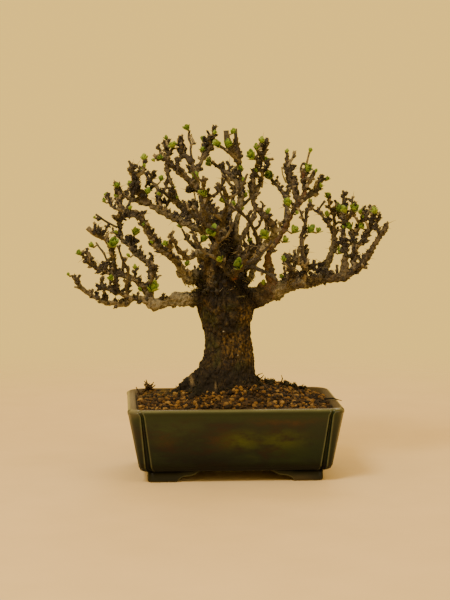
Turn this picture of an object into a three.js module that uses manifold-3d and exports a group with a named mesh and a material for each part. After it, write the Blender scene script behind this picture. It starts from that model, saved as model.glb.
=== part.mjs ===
// A small barberry bonsai in bud, in a glazed rectangular pot on four feet.
// Millimetres, +Z up. X runs along the pot's long side and -Y faces the viewer.
// The origin is the bottom centre of the whole bonsai's box, on the surface that the feet stand on.
import * as THREE from "three";
import { mergeVertices } from "three/addons/utils/BufferGeometryUtils.js";
import Module from "manifold-3d";

// Driving dimensions of the pot
const RIM_HALF_WIDTH = 83.5;
const RIM_HALF_DEPTH = 59;
const POT_HEIGHT = 58.5;
const FOOT_HEIGHT = 8.7;
const BASE_HALF_WIDTH = 73.8;
const BASE_HALF_DEPTH = 49.5;
const LIP_WIDTH = 7;
const LIP_CORNER = 15;
const FLOOR_TOP = 14;
const DRAIN_RADIUS = 7;
const DRAIN_OFFSET = 33;
const TIE_HOLE_RADIUS = 1.6;
const GAP = 0.3;

// Driving dimensions of the soil
const GRIT_TOP = 21.7;
const SOIL_EDGE = 55.5;
const SOIL_MOUND = 15;
const GRAIN = 5.4;
const GRAIN_RELIEF = 1.4;

// Driving dimensions of the tree: the crown's dome and the place that it is seen from
const CROWN_BASE = 158;
const CROWN_MIDDLE = -3;
const CROWN_HALF_WIDTH = 127;
const CROWN_HALF_DEPTH = 84;
const CROWN_HEIGHT = 119;
const CROWN_SHIFT = 2.4;
const TRUNK_SHIFT = 1;
const EYE = { x: -90, y: -1340, z: 269 };
const CROOK_LENGTH = 12;
const BRANCH_STEP = 26;
const BRANCH_LENGTH = 27;
const TWIG_STEP = 78;
const TWIG_LENGTH = 7;
const BUD_RADIUS = 2.5;
const BEND_SLACK = 1.1;

const wasm = await Module();
wasm.setup();

const UP = new THREE.Vector3(0, 0, 1);

// One draw after another from a fixed seed, each from 0 to 1
function seeded(seed) {
  let state = seed;
  return () => {
    state = (state * 48271) % 2147483647;
    return state / 2147483647;
  };
}

function mix(a, b, t) {
  return a + (b - a) * t;
}

// A closed geometry as a solid that can be cut and joined
function solid(geometry) {
  const bare = new THREE.BufferGeometry();
  bare.setAttribute("position", geometry.getAttribute("position"));
  if (geometry.index) bare.setIndex(geometry.index);
  const merged = mergeVertices(bare, 1e-4);
  return new wasm.Manifold(
    new wasm.Mesh({
      numProp: 3,
      vertProperties: new Float32Array(merged.attributes.position.array),
      triVerts: new Uint32Array(merged.index.array),
    }),
  );
}

function joined(solids) {
  let level = solids;
  while (level.length > 1) {
    const next = [];
    for (let i = 0; i < level.length; i += 2) {
      next.push(i + 1 < level.length ? level[i].add(level[i + 1]) : level[i]);
    }
    level = next;
  }
  return level[0];
}

function geometryOf(made) {
  const mesh = made.getMesh();
  const positions = new Float32Array(mesh.numVert * 3);
  for (let i = 0; i < mesh.numVert; i++) {
    const at = i * mesh.numProp;
    positions.set(mesh.vertProperties.subarray(at, at + 3), i * 3);
  }
  const geometry = new THREE.BufferGeometry();
  geometry.setAttribute("position", new THREE.BufferAttribute(positions, 3));
  geometry.setIndex(new THREE.BufferAttribute(new Uint32Array(mesh.triVerts), 1));
  geometry.computeVertexNormals();
  return geometry;
}

// A closed skin over rings of equal point count, with a flat cap on the first and last ring
function loft(rings) {
  const count = rings[0].length;
  const points = rings.flat();
  const faces = [];
  for (let r = 0; r + 1 < rings.length; r++) {
    for (let i = 0; i < count; i++) {
      const a = r * count + i;
      const b = r * count + ((i + 1) % count);
      faces.push(a, b, b + count, a, b + count, a + count);
    }
  }
  for (const [first, flip] of [[0, true], [(rings.length - 1) * count, false]]) {
    const middle = new THREE.Vector3();
    for (let i = 0; i < count; i++) middle.addScaledVector(points[first + i], 1 / count);
    const hub = points.push(middle) - 1;
    for (let i = 0; i < count; i++) {
      const a = first + i;
      const b = first + ((i + 1) % count);
      faces.push(...(flip ? [b, a, hub] : [a, b, hub]));
    }
  }
  const geometry = new THREE.BufferGeometry().setFromPoints(points);
  geometry.setIndex(faces);
  return geometry;
}

// A round bar through points, with a radius at each
function stick(points, radii, sides) {
  const rings = [];
  let across = new THREE.Vector3(0, 1, 0);
  points.forEach((point, i) => {
    const before = points[Math.max(i - 1, 0)];
    const after = points[Math.min(i + 1, points.length - 1)];
    const along = after.clone().sub(before).normalize();
    if (Math.abs(across.dot(along)) > 0.9) across = new THREE.Vector3(1, 0, 0);
    across = across.addScaledVector(along, -across.dot(along)).normalize();
    const other = along.clone().cross(across);
    rings.push(
      Array.from({ length: sides }, (_, k) => {
        const turn = (2 * Math.PI * k) / sides;
        return point
          .clone()
          .addScaledVector(across, Math.cos(turn) * radii[i])
          .addScaledVector(other, Math.sin(turn) * radii[i]);
      }),
    );
  });
  return loft(rings);
}

// The wall's outline at one level: flat panels, a grooved bead at each panel's end and round corner posts
function wallOutline(halfWidth, halfDepth, post, groove, z) {
  const bead = 0.5;
  const sink = 1.5;
  const slope = 0.7;
  const corner = [
    [-post - groove - 1.6, 0],
    [-post - groove, bead],
    [-post - groove + slope, -sink],
    [-post - slope, -sink],
    [-post, bead],
    ...[0.25, 0.5, 0.75].map((share) => {
      const turn = (share * Math.PI) / 2;
      return [post * (Math.sin(turn) - 1), post * (Math.cos(turn) - 1)];
    }),
    [bead, -post],
    [-sink, -post - slope],
    [-sink, -post - groove + slope],
    [bead, -post - groove],
    [0, -post - groove - 1.6],
  ];
  return aroundCorners(corner, halfWidth, halfDepth, z);
}

// A plain rounded outline with as many points as the wall's
function roundOutline(halfWidth, halfDepth, radius, z) {
  const corner = Array.from({ length: 13 }, (_, i) => {
    const turn = (i / 12) * (Math.PI / 2);
    return [radius * (Math.sin(turn) - 1), radius * (Math.cos(turn) - 1)];
  });
  return aroundCorners(corner, halfWidth, halfDepth, z);
}

// Repeats a corner, given as distances from the corner point, anticlockwise round the pot
function aroundCorners(corner, halfWidth, halfDepth, z) {
  const back = [...corner].reverse();
  const place = (list, sx, sy) =>
    list.map(([u, v]) => new THREE.Vector3(sx * (halfWidth + u), sy * (halfDepth + v), z));
  return [
    ...place(corner, 1, -1),
    ...place(back, 1, 1),
    ...place(corner, -1, 1),
    ...place(back, -1, -1),
  ];
}

function potWall(level, inset) {
  return wallOutline(
    mix(BASE_HALF_WIDTH, RIM_HALF_WIDTH - 1, level) - inset,
    mix(BASE_HALF_DEPTH, RIM_HALF_DEPTH - 1, level) - inset,
    mix(4, 8.5, level),
    mix(4.6, 2.8, level),
    mix(FOOT_HEIGHT, 54, level),
  );
}

// The inside of the pot at a height, drawn in by a margin
function potInside(z, margin) {
  const level = (z - FLOOR_TOP) / (POT_HEIGHT - FLOOR_TOP);
  return roundOutline(
    mix(67, RIM_HALF_WIDTH - LIP_WIDTH, level) - margin,
    mix(43, RIM_HALF_DEPTH - LIP_WIDTH, level) - margin,
    mix(8, 11, level),
    z,
  );
}

// A leg of a foot, as an outline drawn out along one side of the pot
function footArm(outer, inner, alongX, sx, sy) {
  const shape = new THREE.Shape();
  const side = alongX ? sx : sy;
  shape.moveTo(side * outer, FOOT_HEIGHT + 1);
  shape.lineTo(side * outer, 0);
  shape.lineTo(side * inner, 0);
  shape.lineTo(side * (inner - 4.5), 3.4);
  shape.lineTo(side * (inner - 10), 6.2);
  shape.lineTo(side * (inner - 17), 7.8);
  shape.lineTo(side * (inner - 18), FOOT_HEIGHT + 1);
  const thickness = 9;
  const face = alongX ? BASE_HALF_DEPTH - 4 : BASE_HALF_WIDTH - 5.5;
  const arm = new THREE.ExtrudeGeometry(shape, { depth: thickness, bevelEnabled: false });
  arm.rotateX(Math.PI / 2);
  if (alongX) {
    arm.translate(0, sy > 0 ? face : -face + thickness, 0);
  } else {
    arm.rotateZ(Math.PI / 2);
    arm.translate(sx > 0 ? face - thickness : -face, 0, 0);
  }
  return arm;
}

function potGeometry() {
  const lip = (inset, z) =>
    roundOutline(RIM_HALF_WIDTH - inset, RIM_HALF_DEPTH - inset, LIP_CORNER - inset, z);
  const body = solid(
    loft([
      potWall(0, 3.2),
      potWall(0.02, 1.2),
      potWall(0.07, 0),
      potWall(1, 0),
      lip(0.4, 54.6),
      lip(0, 56.4),
      lip(0.9, 58),
      lip(2.4, POT_HEIGHT),
      lip(LIP_WIDTH - 0.6, 57.9),
      potInside(50, 0),
      potInside(18, 0),
      potInside(FLOOR_TOP, 3),
    ]),
  );
  const feet = [];
  for (const sx of [-1, 1]) {
    for (const sy of [-1, 1]) {
      feet.push(solid(footArm(BASE_HALF_WIDTH - 5.5, 46, true, sx, sy)));
      feet.push(solid(footArm(BASE_HALF_DEPTH - 4, 27, false, sx, sy)));
    }
  }
  const holes = [];
  const drill = (radius, x, y, sides) => {
    const hole = new THREE.CylinderGeometry(radius, radius, 12, sides);
    hole.rotateX(Math.PI / 2);
    hole.translate(x, y, 11);
    holes.push(solid(hole));
  };
  for (const sx of [-1, 1]) {
    drill(DRAIN_RADIUS, sx * DRAIN_OFFSET, 0, 20);
    for (const sy of [-1, 1]) drill(TIE_HOLE_RADIUS, sx * 12, sy * 22, 8);
  }
  return geometryOf(joined([body, ...feet]).subtract(joined(holes)));
}

// Plastic mesh over a drain hole
function screenGeometry(sx) {
  const side = 22;
  const bar = 2;
  const cells = 3;
  const cell = (side - bar * (cells + 1)) / cells;
  let plate = solid(new THREE.BoxGeometry(side, side, 1));
  for (let i = 0; i < cells; i++) {
    for (let j = 0; j < cells; j++) {
      const window = new THREE.BoxGeometry(cell, cell, 4);
      window.translate((i - 1) * (cell + bar), (j - 1) * (cell + bar), 0);
      plate = plate.subtract(solid(window));
    }
  }
  const geometry = geometryOf(plate);
  geometry.translate(sx * DRAIN_OFFSET, 0, FLOOR_TOP + GAP + 0.5);
  return geometry;
}

// Wire clip that holds the mesh down, bent outward below the floor
function clipGeometry(sx) {
  const radius = 0.6;
  const top = FLOOR_TOP + GAP + 1 + GAP + radius;
  const low = FOOT_HEIGHT - GAP - radius;
  const leg = DRAIN_RADIUS - 1.4;
  const half = [
    [leg - 1, top],
    [leg, top - 1.2],
    [leg, low + 1],
    [leg + 1, low],
    [DRAIN_RADIUS + 5, low],
  ];
  const path = [...half.map(([x, z]) => [-x, z]).reverse(), ...half];
  const points = path.map(([x, z]) => new THREE.Vector3(x + sx * DRAIN_OFFSET, 0, z));
  return stick(points, points.map(() => radius), 6);
}

// Coarse grit under the soil
function gritGeometry() {
  const slab = solid(loft([potInside(FLOOR_TOP + GAP, GAP + 3.2), potInside(GRIT_TOP, GAP)]));
  return geometryOf(slab.subtract(screenRoom(-1)).subtract(screenRoom(1)));
}

function screenRoom(sx) {
  const room = new THREE.BoxGeometry(23, 23, 8);
  room.translate(sx * DRAIN_OFFSET, 0, FLOOR_TOP - 1);
  return solid(room);
}

// Heaped round the trunk, banked up in front of it, with a second heap behind on the right and a dip beyond
function soilHeight(x, y) {
  const mound = SOIL_MOUND * Math.exp(-(((x + 4) / 52) ** 2) - (y / 38) ** 2);
  const bank = 5.5 * Math.exp(-(((x - 10) / 20) ** 2) - ((y + 26) / 13) ** 2);
  const heap = 5.5 * Math.exp(-(((x - 38) / 26) ** 2) - ((y - 24) / 22) ** 2);
  const dip = 3 * Math.exp(-(((x - 80) / 16) ** 2) - ((y - 40) / 20) ** 2);
  return SOIL_EDGE + mound + bank + heap - dip;
}

// Granular soil: a grid of clay grains, each a bump, cut to the inside of the pot
function soilGeometry(rootHollow) {
  const draw = seeded(4021);
  const columns = Math.round((2 * RIM_HALF_WIDTH) / GRAIN);
  const rows = Math.round((2 * RIM_HALF_DEPTH) / GRAIN);
  const slab = new THREE.BoxGeometry(2 * RIM_HALF_WIDTH, 2 * RIM_HALF_DEPTH, 2, columns, rows, 1);
  const merged = mergeVertices(
    new THREE.BufferGeometry()
      .setAttribute("position", slab.getAttribute("position"))
      .setIndex(slab.index),
    1e-3,
  );
  const at = merged.getAttribute("position");
  for (let i = 0; i < at.count; i++) {
    if (at.getZ(i) < 0) {
      at.setZ(i, GRIT_TOP - 5);
      continue;
    }
    const x = at.getX(i) + (draw() - 0.5) * GRAIN * 0.5;
    const y = at.getY(i) + (draw() - 0.5) * GRAIN * 0.5;
    at.setXYZ(i, x, y, soilHeight(x, y) + (draw() * 2 - 1) * GRAIN_RELIEF);
  }
  const core = solid(
    loft([
      potInside(GRIT_TOP + GAP, GAP),
      potInside(57.8, GAP),
      potInside(57.8, 1).map((p) => p.setZ(80)),
    ]),
  );
  return geometryOf(solid(merged).intersect(core).subtract(rootHollow));
}

// Trunk: height, middle and radius, seen from the front, with the buried root plate first
const TRUNK = [
  [41, -9, 22],
  [44, -9, 33],
  [58, -9, 36],
  [64, -9, 32],
  [70, -7, 27.5],
  [78, -6, 24],
  [90, -3.5, 20],
  [102, -3, 18.4],
  [110, -3.5, 18.2],
  [118, -4.5, 19],
  [129, -5, 21.5],
  [137, -6, 22],
  [145, -8, 19.5],
  [153, -10, 16.8],
  [163, -11, 14],
  [173, -11, 10],
  [185, -9, 7],
  [197, -8, 5.2],
  [208, -7, 3.8],
];

// Roots that show at the foot of the trunk: direction in degrees, how far out, radius
const ROOTS = [
  [185, 37, 5.5],
  [225, 34, 5],
  [262, 31, 5],
  [300, 30, 4.5],
  [345, 36, 5],
  [30, 42, 5],
  [75, 38, 5.5],
  [130, 42, 5],
];

function trunkSolid(extra) {
  const sides = 16;
  const rings = TRUNK.map(([z, x, radius], i) =>
    Array.from({ length: sides }, (_, k) => {
      const turn = (2 * Math.PI * k) / sides;
      const flute = 1 + 0.05 * Math.cos(3 * turn + z * 0.03) + 0.035 * Math.cos(5 * turn + 1 + i);
      const reach = radius * flute + extra;
      return new THREE.Vector3(x + TRUNK_SHIFT + Math.cos(turn) * reach, Math.sin(turn) * reach * 0.94, z);
    }),
  );
  if (extra) rings[0].forEach((p) => p.setZ(TRUNK[0][0] - extra));
  return solid(loft(rings));
}

function rootSolids(extra) {
  return ROOTS.map(([degrees, out, radius]) => {
    const turn = THREE.MathUtils.degToRad(degrees);
    const points = [
      [10, 82],
      [19, 76],
      [out * 0.72, 70],
      [out, 62],
      [out + 5 + extra, 54],
    ].map(([r, z]) => new THREE.Vector3(-8 + Math.cos(turn) * r, Math.sin(turn) * r * 0.9, z));
    const radii = [5.5, 6.5, 6, 5, 3].map((r) => (r * radius) / 6 + extra);
    return solid(stick(points, radii, 6));
  });
}

// How far the crown's dome reaches in front or behind at a place seen from the front
function domeDepth(x, z) {
  const u = (x - CROWN_MIDDLE) / CROWN_HALF_WIDTH;
  const w = Math.max(z - CROWN_BASE, 0) / CROWN_HEIGHT;
  return CROWN_HALF_DEPTH * Math.sqrt(Math.max(1 - u * u - w * w, 0.03));
}

// A place seen at x, z on the trunk's plane, slid along the sight line to its depth
function sighted(x, z, depth) {
  const slide = (depth - EYE.y) / -EYE.y;
  return new THREE.Vector3(EYE.x + (x - EYE.x) * slide, depth, EYE.z + (z - EYE.z) * slide);
}

// Limbs as seen from the front: name, what it grows from, radius at its root and tip,
// how far its tip reaches to the back (+1) or the front (-1) of the crown, and its course as x, z
const LIMBS = [
  ["low_right", "trunk", 7, 4.8, -0.1,
    [8, 138], [17, 139], [25, 142], [33, 145], [40, 148], [47, 150], [56, 151]],
  ["low_left", "trunk", 5.2, 4.3, -0.1,
    [-16, 139], [-29, 139], [-41, 138], [-53, 136], [-62, 134], [-69, 134]],
  ["low_left_tip", "low_left", 2.6, 1, -0.5,
    [-67, 135], [-73, 138], [-82, 138], [-87, 135], [-95, 135], [-104, 136], [-113, 141], [-121, 147],
    [-127, 154], [-129, 158]],
  ["low_left_riser", "low_left", 3, 1.3, 0.6,
    [-68, 135], [-68, 145], [-66, 156], [-66, 163], [-71, 169], [-77, 173], [-85, 182], [-90, 187],
    [-91, 197], [-91, 206], [-93, 217]],
  ["low_left_spray", "low_left_riser", 2.4, 1, -0.3,
    [-69, 143], [-75, 150], [-84, 156], [-93, 158], [-103, 160], [-112, 164], [-118, 169], [-121, 175]],
  ["low_left_fork", "low_left_spray", 1.8, 1.1, -0.6,
    [-94, 158], [-96, 168], [-98, 178], [-101, 185], [-107, 188], [-113, 193]],
  ["low_left_rod", "low_left_tip", 1.3, 0.9, -0.7, [-85, 138], [-85, 153], [-88, 167], [-91, 181]],
  ["low_left_thin", "low_left_spray", 1, 0.8, 0.3, [-95, 158], [-102, 171], [-106, 178], [-110, 183]],
  ["low_left_tuft", "low_left_tip", 2.1, 1, -0.3, [-82, 138], [-90, 143], [-100, 146], [-107, 149]],
  ["low_left_bud", "low_left_tuft", 1.4, 1, -0.4, [-93, 143], [-95, 150], [-95, 157]],
  ["low_left_side", "low_left_riser", 1.4, 1, -0.5, [-66, 150], [-64, 157], [-65, 165]],
  ["mid_left", "trunk", 3.7, 1.6, -0.35,
    [-18, 156], [-27, 157], [-33, 154], [-37, 153], [-41, 159], [-45, 166], [-53, 174], [-61, 179],
    [-66, 186], [-70, 192], [-73, 201], [-76, 206]],
  ["mid_left_arch", "trunk", 3, 1.5, -0.75,
    [-18, 165], [-24, 172], [-30, 174], [-35, 171], [-39, 171], [-44, 176], [-48, 182], [-52, 190]],
  ["mid_left_bud", "mid_left", 1.5, 1, -0.6, [-50, 172], [-51, 180], [-52, 185]],
  ["mid_left_high", "mid_left", 1.9, 1, -0.1, [-74, 201], [-81, 205], [-87, 208], [-90, 213], [-90, 219]],
  ["mid_left_twig", "mid_left_high", 1.3, 0.8, 0.3, [-87, 207], [-94, 210], [-98, 213], [-101, 219]],
  ["up_left", "trunk", 2.9, 1.3, -0.2,
    [-10, 191], [-24, 192], [-33, 195], [-39, 198], [-46, 201], [-53, 205], [-61, 209], [-67, 212],
    [-75, 215], [-81, 217], [-87, 219], [-92, 224], [-94, 229]],
  ["up_left_clump", "up_left", 2.8, 1.5, -0.4,
    [-70, 214], [-73, 219], [-76, 223], [-79, 228], [-80, 233], [-81, 238], [-82, 245]],
  ["up_left_bud", "up_left_clump", 1.5, 1, 0.1, [-80, 235], [-73, 238], [-72, 243], [-72, 247]],
  ["up_left_pale", "up_left", 1.5, 1, 0.5,
    [-59, 209], [-60, 215], [-61, 221], [-62, 227], [-66, 231], [-72, 239]],
  ["high_left", "trunk", 2.6, 1.3, 0.35,
    [-13, 196], [-24, 199], [-34, 204], [-39, 208], [-44, 212], [-47, 218], [-49, 224], [-51, 231],
    [-53, 236], [-54, 242], [-53, 250], [-53, 257], [-54, 263]],
  ["high_left_stub", "high_left", 1.8, 1.1, -0.2, [-45, 214], [-52, 219], [-56, 222], [-61, 225]],
  ["high_left_bud", "high_left", 1.2, 0.9, 0.1, [-52, 251], [-50, 255], [-49, 258]],
  ["crown_left", "trunk", 2.6, 1.2, -0.6,
    [-11, 190], [-18, 197], [-24, 205], [-25, 212], [-27, 218], [-28, 222], [-32, 227], [-40, 235],
    [-45, 239], [-50, 244], [-55, 248], [-63, 250]],
  ["crown_left_shoot", "crown_left", 1.3, 0.8, 0.1,
    [-30, 225], [-31, 234], [-32, 240], [-35, 253], [-35, 260], [-37, 266], [-36, 271]],
  ["crown_left_clump", "crown_left_shoot", 2.2, 1.5, 0.3,
    [-33, 246], [-38, 250], [-42, 254], [-43, 260], [-42, 266]],
  ["crown_fork", "crown_left", 2.4, 1.4, 0.3,
    [-31, 226], [-31, 238], [-28, 244], [-25, 249], [-23, 253], [-20, 259], [-18, 263], [-17, 267]],
  ["crown_fork_twig", "crown_fork", 1.4, 1, 0.5, [-24, 251], [-24, 256], [-25, 262]],
  ["crown_fork_tip", "crown_fork", 1.4, 1, 0.1, [-20, 259], [-21, 263], [-21, 267]],
  ["front_left", "trunk", 3, 1.2, -0.95,
    [-14, 187], [-20, 197], [-24, 204], [-25, 213], [-25, 220], [-25, 227], [-24, 234]],
  ["front_left_twig", "front_left", 1.4, 0.9, -0.9, [-23, 203], [-18, 206], [-15, 210]],
  ["leader_back", "leader", 2.2, 1.2, 0.4,
    [4, 224], [1, 230], [-4, 236], [-8, 239], [-12, 242], [-19, 246]],
  ["leader", "trunk", 3, 1.4, -0.1,
    [-7, 178], [-1, 185], [0, 192], [2, 204], [4, 213], [5, 223], [5, 230], [4, 237], [3, 245], [3, 253],
    [1, 266], [0, 271]],
  ["leader_stub", "leader", 2.4, 1.9, 0.1, [3, 249], [-3, 259], [-6, 265], [-7, 269]],
  ["leader_bud", "leader", 1.7, 1, -0.4, [3, 247], [-5, 254], [-11, 258], [-14, 261]],
  ["crown_right", "trunk", 2.4, 1.6, 0.35,
    [-7, 172], [0, 177], [4, 185], [7, 189], [12, 199], [15, 204], [16, 210], [13, 220], [14, 227],
    [16, 240], [21, 249], [24, 259], [25, 264]],
  ["crown_right_bud", "crown_right", 1.5, 1, -0.2, [21, 250], [18, 254], [16, 258]],
  ["crown_right_stub", "crown_right", 1.3, 1, 0.1, [23, 256], [21, 260], [21, 263]],
  ["crown_right_tip", "crown_right", 1.3, 0.9, 0.6,
    [14, 216], [17, 221], [20, 231], [22, 238], [25, 243], [26, 249]],
  ["front_cross", "trunk", 1.9, 1.1, -0.85,
    [-6, 167], [9, 172], [18, 182], [16, 190], [12, 198], [5, 207], [0, 212]],
  ["riser", "low_right", 3.3, 1.6, -0.3,
    [29, 146], [28, 155], [27, 162], [26, 170], [28, 178], [31, 182], [36, 188], [39, 193], [42, 200],
    [45, 206], [51, 213], [54, 219], [55, 226], [54, 234], [54, 240]],
  ["riser_shoot", "riser", 1.3, 0.8, -0.1, [53, 227], [54, 234], [52, 241], [54, 245]],
  ["riser_clump", "riser", 2.2, 1.4, 0.1, [54, 217], [60, 221], [65, 224], [67, 230], [70, 233]],
  ["riser_stub", "riser", 2.3, 1.3, 0.3, [50, 214], [48, 221], [46, 232], [42, 237], [41, 244], [41, 253]],
  ["riser_twig", "riser", 1.2, 0.9, -0.5, [57, 224], [60, 232], [63, 237]],
  ["pale_limb", "trunk", 4.3, 2, -0.55,
    [-5, 167], [10, 174], [17, 177], [23, 180], [28, 185], [31, 190], [31, 195], [27, 199], [22, 205],
    [17, 210]],
  ["pale_fork", "riser", 2.2, 1.2, 0.5,
    [39, 197], [41, 204], [41, 211], [40, 218], [37, 223], [34, 227], [29, 232], [28, 237]],
  ["pale_tip", "pale_fork", 1.6, 1, 0.8, [40, 218], [43, 225], [43, 230], [43, 236]],
  ["cross_limb", "trunk", 2, 1.2, -0.8, [0, 164], [8, 163], [14, 163], [22, 160], [28, 157], [33, 153]],
  ["side_spur", "trunk", 2.4, 1.3, 0.6, [6, 150], [12, 154], [14, 159], [15, 165], [19, 172]],
  ["low_right_end", "low_right", 4, 1.3, -0.3,
    [54, 151], [66, 152], [80, 154], [90, 156], [100, 164], [106, 172], [111, 180], [115, 187], [119, 192],
    [121, 198]],
  ["low_right_arch", "low_right", 1.9, 1.2, -0.6, [58, 152], [57, 162], [52, 165], [46, 167], [42, 171]],
  ["low_right_bud", "low_right", 1.5, 1, -0.7, [43, 147], [44, 156], [42, 163]],
  ["right_rod", "low_right", 2.2, 1.1, -0.4,
    [56, 151], [55, 162], [54, 170], [53, 179], [53, 188], [54, 191], [56, 200], [57, 210]],
  ["right_limb", "low_right_end", 3, 1.6, 0.5,
    [67, 153], [71, 162], [75, 169], [78, 177], [79, 183], [78, 189], [75, 196], [72, 201]],
  ["right_limb_shoot", "right_limb", 1.4, 0.9, 0.2, [77, 187], [79, 196], [78, 204], [75, 211], [74, 217]],
  ["right_limb_thin", "right_limb", 1.2, 0.8, 0.7, [73, 200], [68, 205], [62, 209], [60, 213]],
  ["right_rise", "low_right_end", 2.5, 0.9, 0.2,
    [86, 157], [88, 167], [88, 175], [87, 183], [86, 191], [87, 200], [87, 210], [87, 220]],
  ["right_rise_left", "right_rise", 1.6, 1, 0.6, [87, 198], [83, 205], [82, 210]],
  ["right_rise_right", "right_rise", 1.6, 1, -0.5, [87, 197], [91, 203], [94, 209], [96, 214]],
  ["right_fan", "low_right_end", 1.9, 0.9, 0.5,
    [94, 160], [95, 170], [94, 179], [94, 186], [98, 194], [102, 202], [106, 207], [109, 210]],
  ["right_fork", "right_fan", 1.6, 1, -0.2,
    [95, 177], [101, 182], [105, 188], [108, 195], [110, 202], [112, 207]],
  ["right_fork_tip", "right_fork", 1.3, 0.9, -0.5, [107, 193], [112, 197], [116, 205]],
  ["front_low", "trunk", 3, 1.2, -0.86, [-4, 148], [-3, 153], [0, 158], [4, 163], [7, 167], [9, 173]],
  ["front_mid", "trunk", 2.8, 1.2, -0.9, [-9, 160], [-13, 168], [-16, 178], [-15, 188], [-13, 195]],
  ["front_high", "trunk", 2.6, 1.2, -0.86,
    [-9, 185], [-10, 194], [-10, 202], [-7, 210], [-7, 216], [-8, 222], [-14, 229]],
  ["back_low_left", "trunk", 3.2, 1.2, 0.95,
    [-10, 150], [-17, 158], [-25, 167], [-31, 180], [-34, 192], [-36, 203]],
  ["back_low_right", "trunk", 3.2, 1.2, 0.95,
    [-4, 150], [6, 160], [14, 170], [20, 182], [24, 194], [26, 205]],
  ["back_mid", "trunk", 2.9, 1.2, 1, [-9, 179], [-10, 190], [-8, 199], [-4, 210]],
  ["back_high", "trunk", 2.8, 1.2, 0.85, [-10, 191], [-7, 201], [-3, 210], [-1, 220], [1, 229], [0, 238]],
];

// Where a place in space is seen, brought back to the trunk's plane
function seenAt(point) {
  const slide = (point.y - EYE.y) / -EYE.y;
  return [EYE.x + (point.x - EYE.x) / slide, EYE.z + (point.z - EYE.z) / slide];
}

// The nearest place on a grown limb to a place seen from the front, and its depth
function nearestOn({ points }, [x, z]) {
  let best = { away: Infinity };
  for (let i = 1; i < points.length; i++) {
    const [ax, az] = seenAt(points[i - 1]);
    const [bx, bz] = seenAt(points[i]);
    const run = Math.max((bx - ax) ** 2 + (bz - az) ** 2, 1e-6);
    const t = Math.min(Math.max(((x - ax) * (bx - ax) + (z - az) * (bz - az)) / run, 0), 1);
    const spot = [mix(ax, bx, t), mix(az, bz, t)];
    const away = Math.hypot(x - spot[0], z - spot[1]);
    if (away < best.away) best = { away, spot, depth: mix(points[i - 1].y, points[i].y, t) };
  }
  return best;
}

function reachOf(course) {
  let total = 0;
  for (let i = 1; i < course.length; i++) {
    total += Math.hypot(course[i][0] - course[i - 1][0], course[i][1] - course[i - 1][1]);
  }
  return total;
}

// Long straight runs are broken up and bent a little, as barberry wood grows
function crook(points, draw) {
  const bent = [points[0]];
  for (let i = 1; i < points.length; i++) {
    const [a, b] = [points[i - 1], points[i]];
    const span = a.distanceTo(b);
    const pieces = Math.round(span / CROOK_LENGTH);
    for (let k = 1; k < pieces; k++) {
      const spot = a.clone().lerp(b, k / pieces);
      const kick = new THREE.Vector3(draw() - 0.5, (draw() - 0.5) * 0.5, draw() - 0.5);
      bent.push(spot.addScaledVector(kick, CROOK_LENGTH * 0.42));
    }
    bent.push(b);
  }
  return bent;
}

// The limbs in space: each starts on what it grows from and reaches its own depth at its tip
function growLimbs() {
  const grown = new Map();
  const draw = seeded(5150);
  for (const [name, parent, rootRadius, tipRadius, reach, ...seen] of LIMBS) {
    const course = seen.map(([x, z]) => [x + CROWN_SHIFT, z]);
    let start = 0;
    if (grown.has(parent)) {
      const { spot, depth } = nearestOn(grown.get(parent), course[0]);
      course[0] = spot;
      start = depth;
    }
    const tip = course[course.length - 1];
    const end = reach * domeDepth(tip[0], tip[1]);
    const total = reachOf(course);
    let travelled = 0;
    const points = course.map(([x, z], i) => {
      if (i) travelled += Math.hypot(x - course[i - 1][0], z - course[i - 1][1]);
      return sighted(x, z, mix(start, end, travelled / total));
    });
    const crooked = crook(points, draw);
    const radii = crooked.map((_, i) => mix(rootRadius, tipRadius, i / (crooked.length - 1)));
    grown.set(name, { points: crooked, radii });
  }
  return grown;
}

// Side branches on the limbs that grow to the front and the back, turn and turn about
function growBranches(limbs) {
  const draw = seeded(31);
  const branches = [];
  for (const [name, { points, radii }] of limbs) {
    if (!/^(front|back)/.test(name)) continue;
    let next = BRANCH_STEP;
    let travelled = 0;
    let side = 1;
    for (let i = 1; i < points.length; i++) {
      const span = points[i].distanceTo(points[i - 1]);
      const along = points[i].clone().sub(points[i - 1]).normalize();
      while (next < travelled + span) {
        const t = (next - travelled) / span;
        const root = points[i - 1].clone().lerp(points[i], t);
        const wide = along.clone().cross(UP).normalize().multiplyScalar(side);
        const way = along.clone().multiplyScalar(0.8).addScaledVector(wide, 0.9);
        way.addScaledVector(UP, 0.3 * draw()).normalize();
        const length = BRANCH_LENGTH * (0.7 + 0.5 * draw());
        const knee = root.clone().addScaledVector(way, length * 0.45);
        way.addScaledVector(UP, 0.75).addScaledVector(along, 0.35 * draw()).normalize();
        const tip = knee.clone().addScaledVector(way, length * 0.55);
        const thick = Math.min(mix(radii[i - 1], radii[i], t) * 0.75, 2);
        branches.push({ points: [root, knee, tip], radii: [thick, thick * 0.8, 0.9] });
        side = -side;
        next += BRANCH_STEP * (0.7 + 0.5 * draw());
      }
      travelled += span;
    }
  }
  return branches;
}

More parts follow.
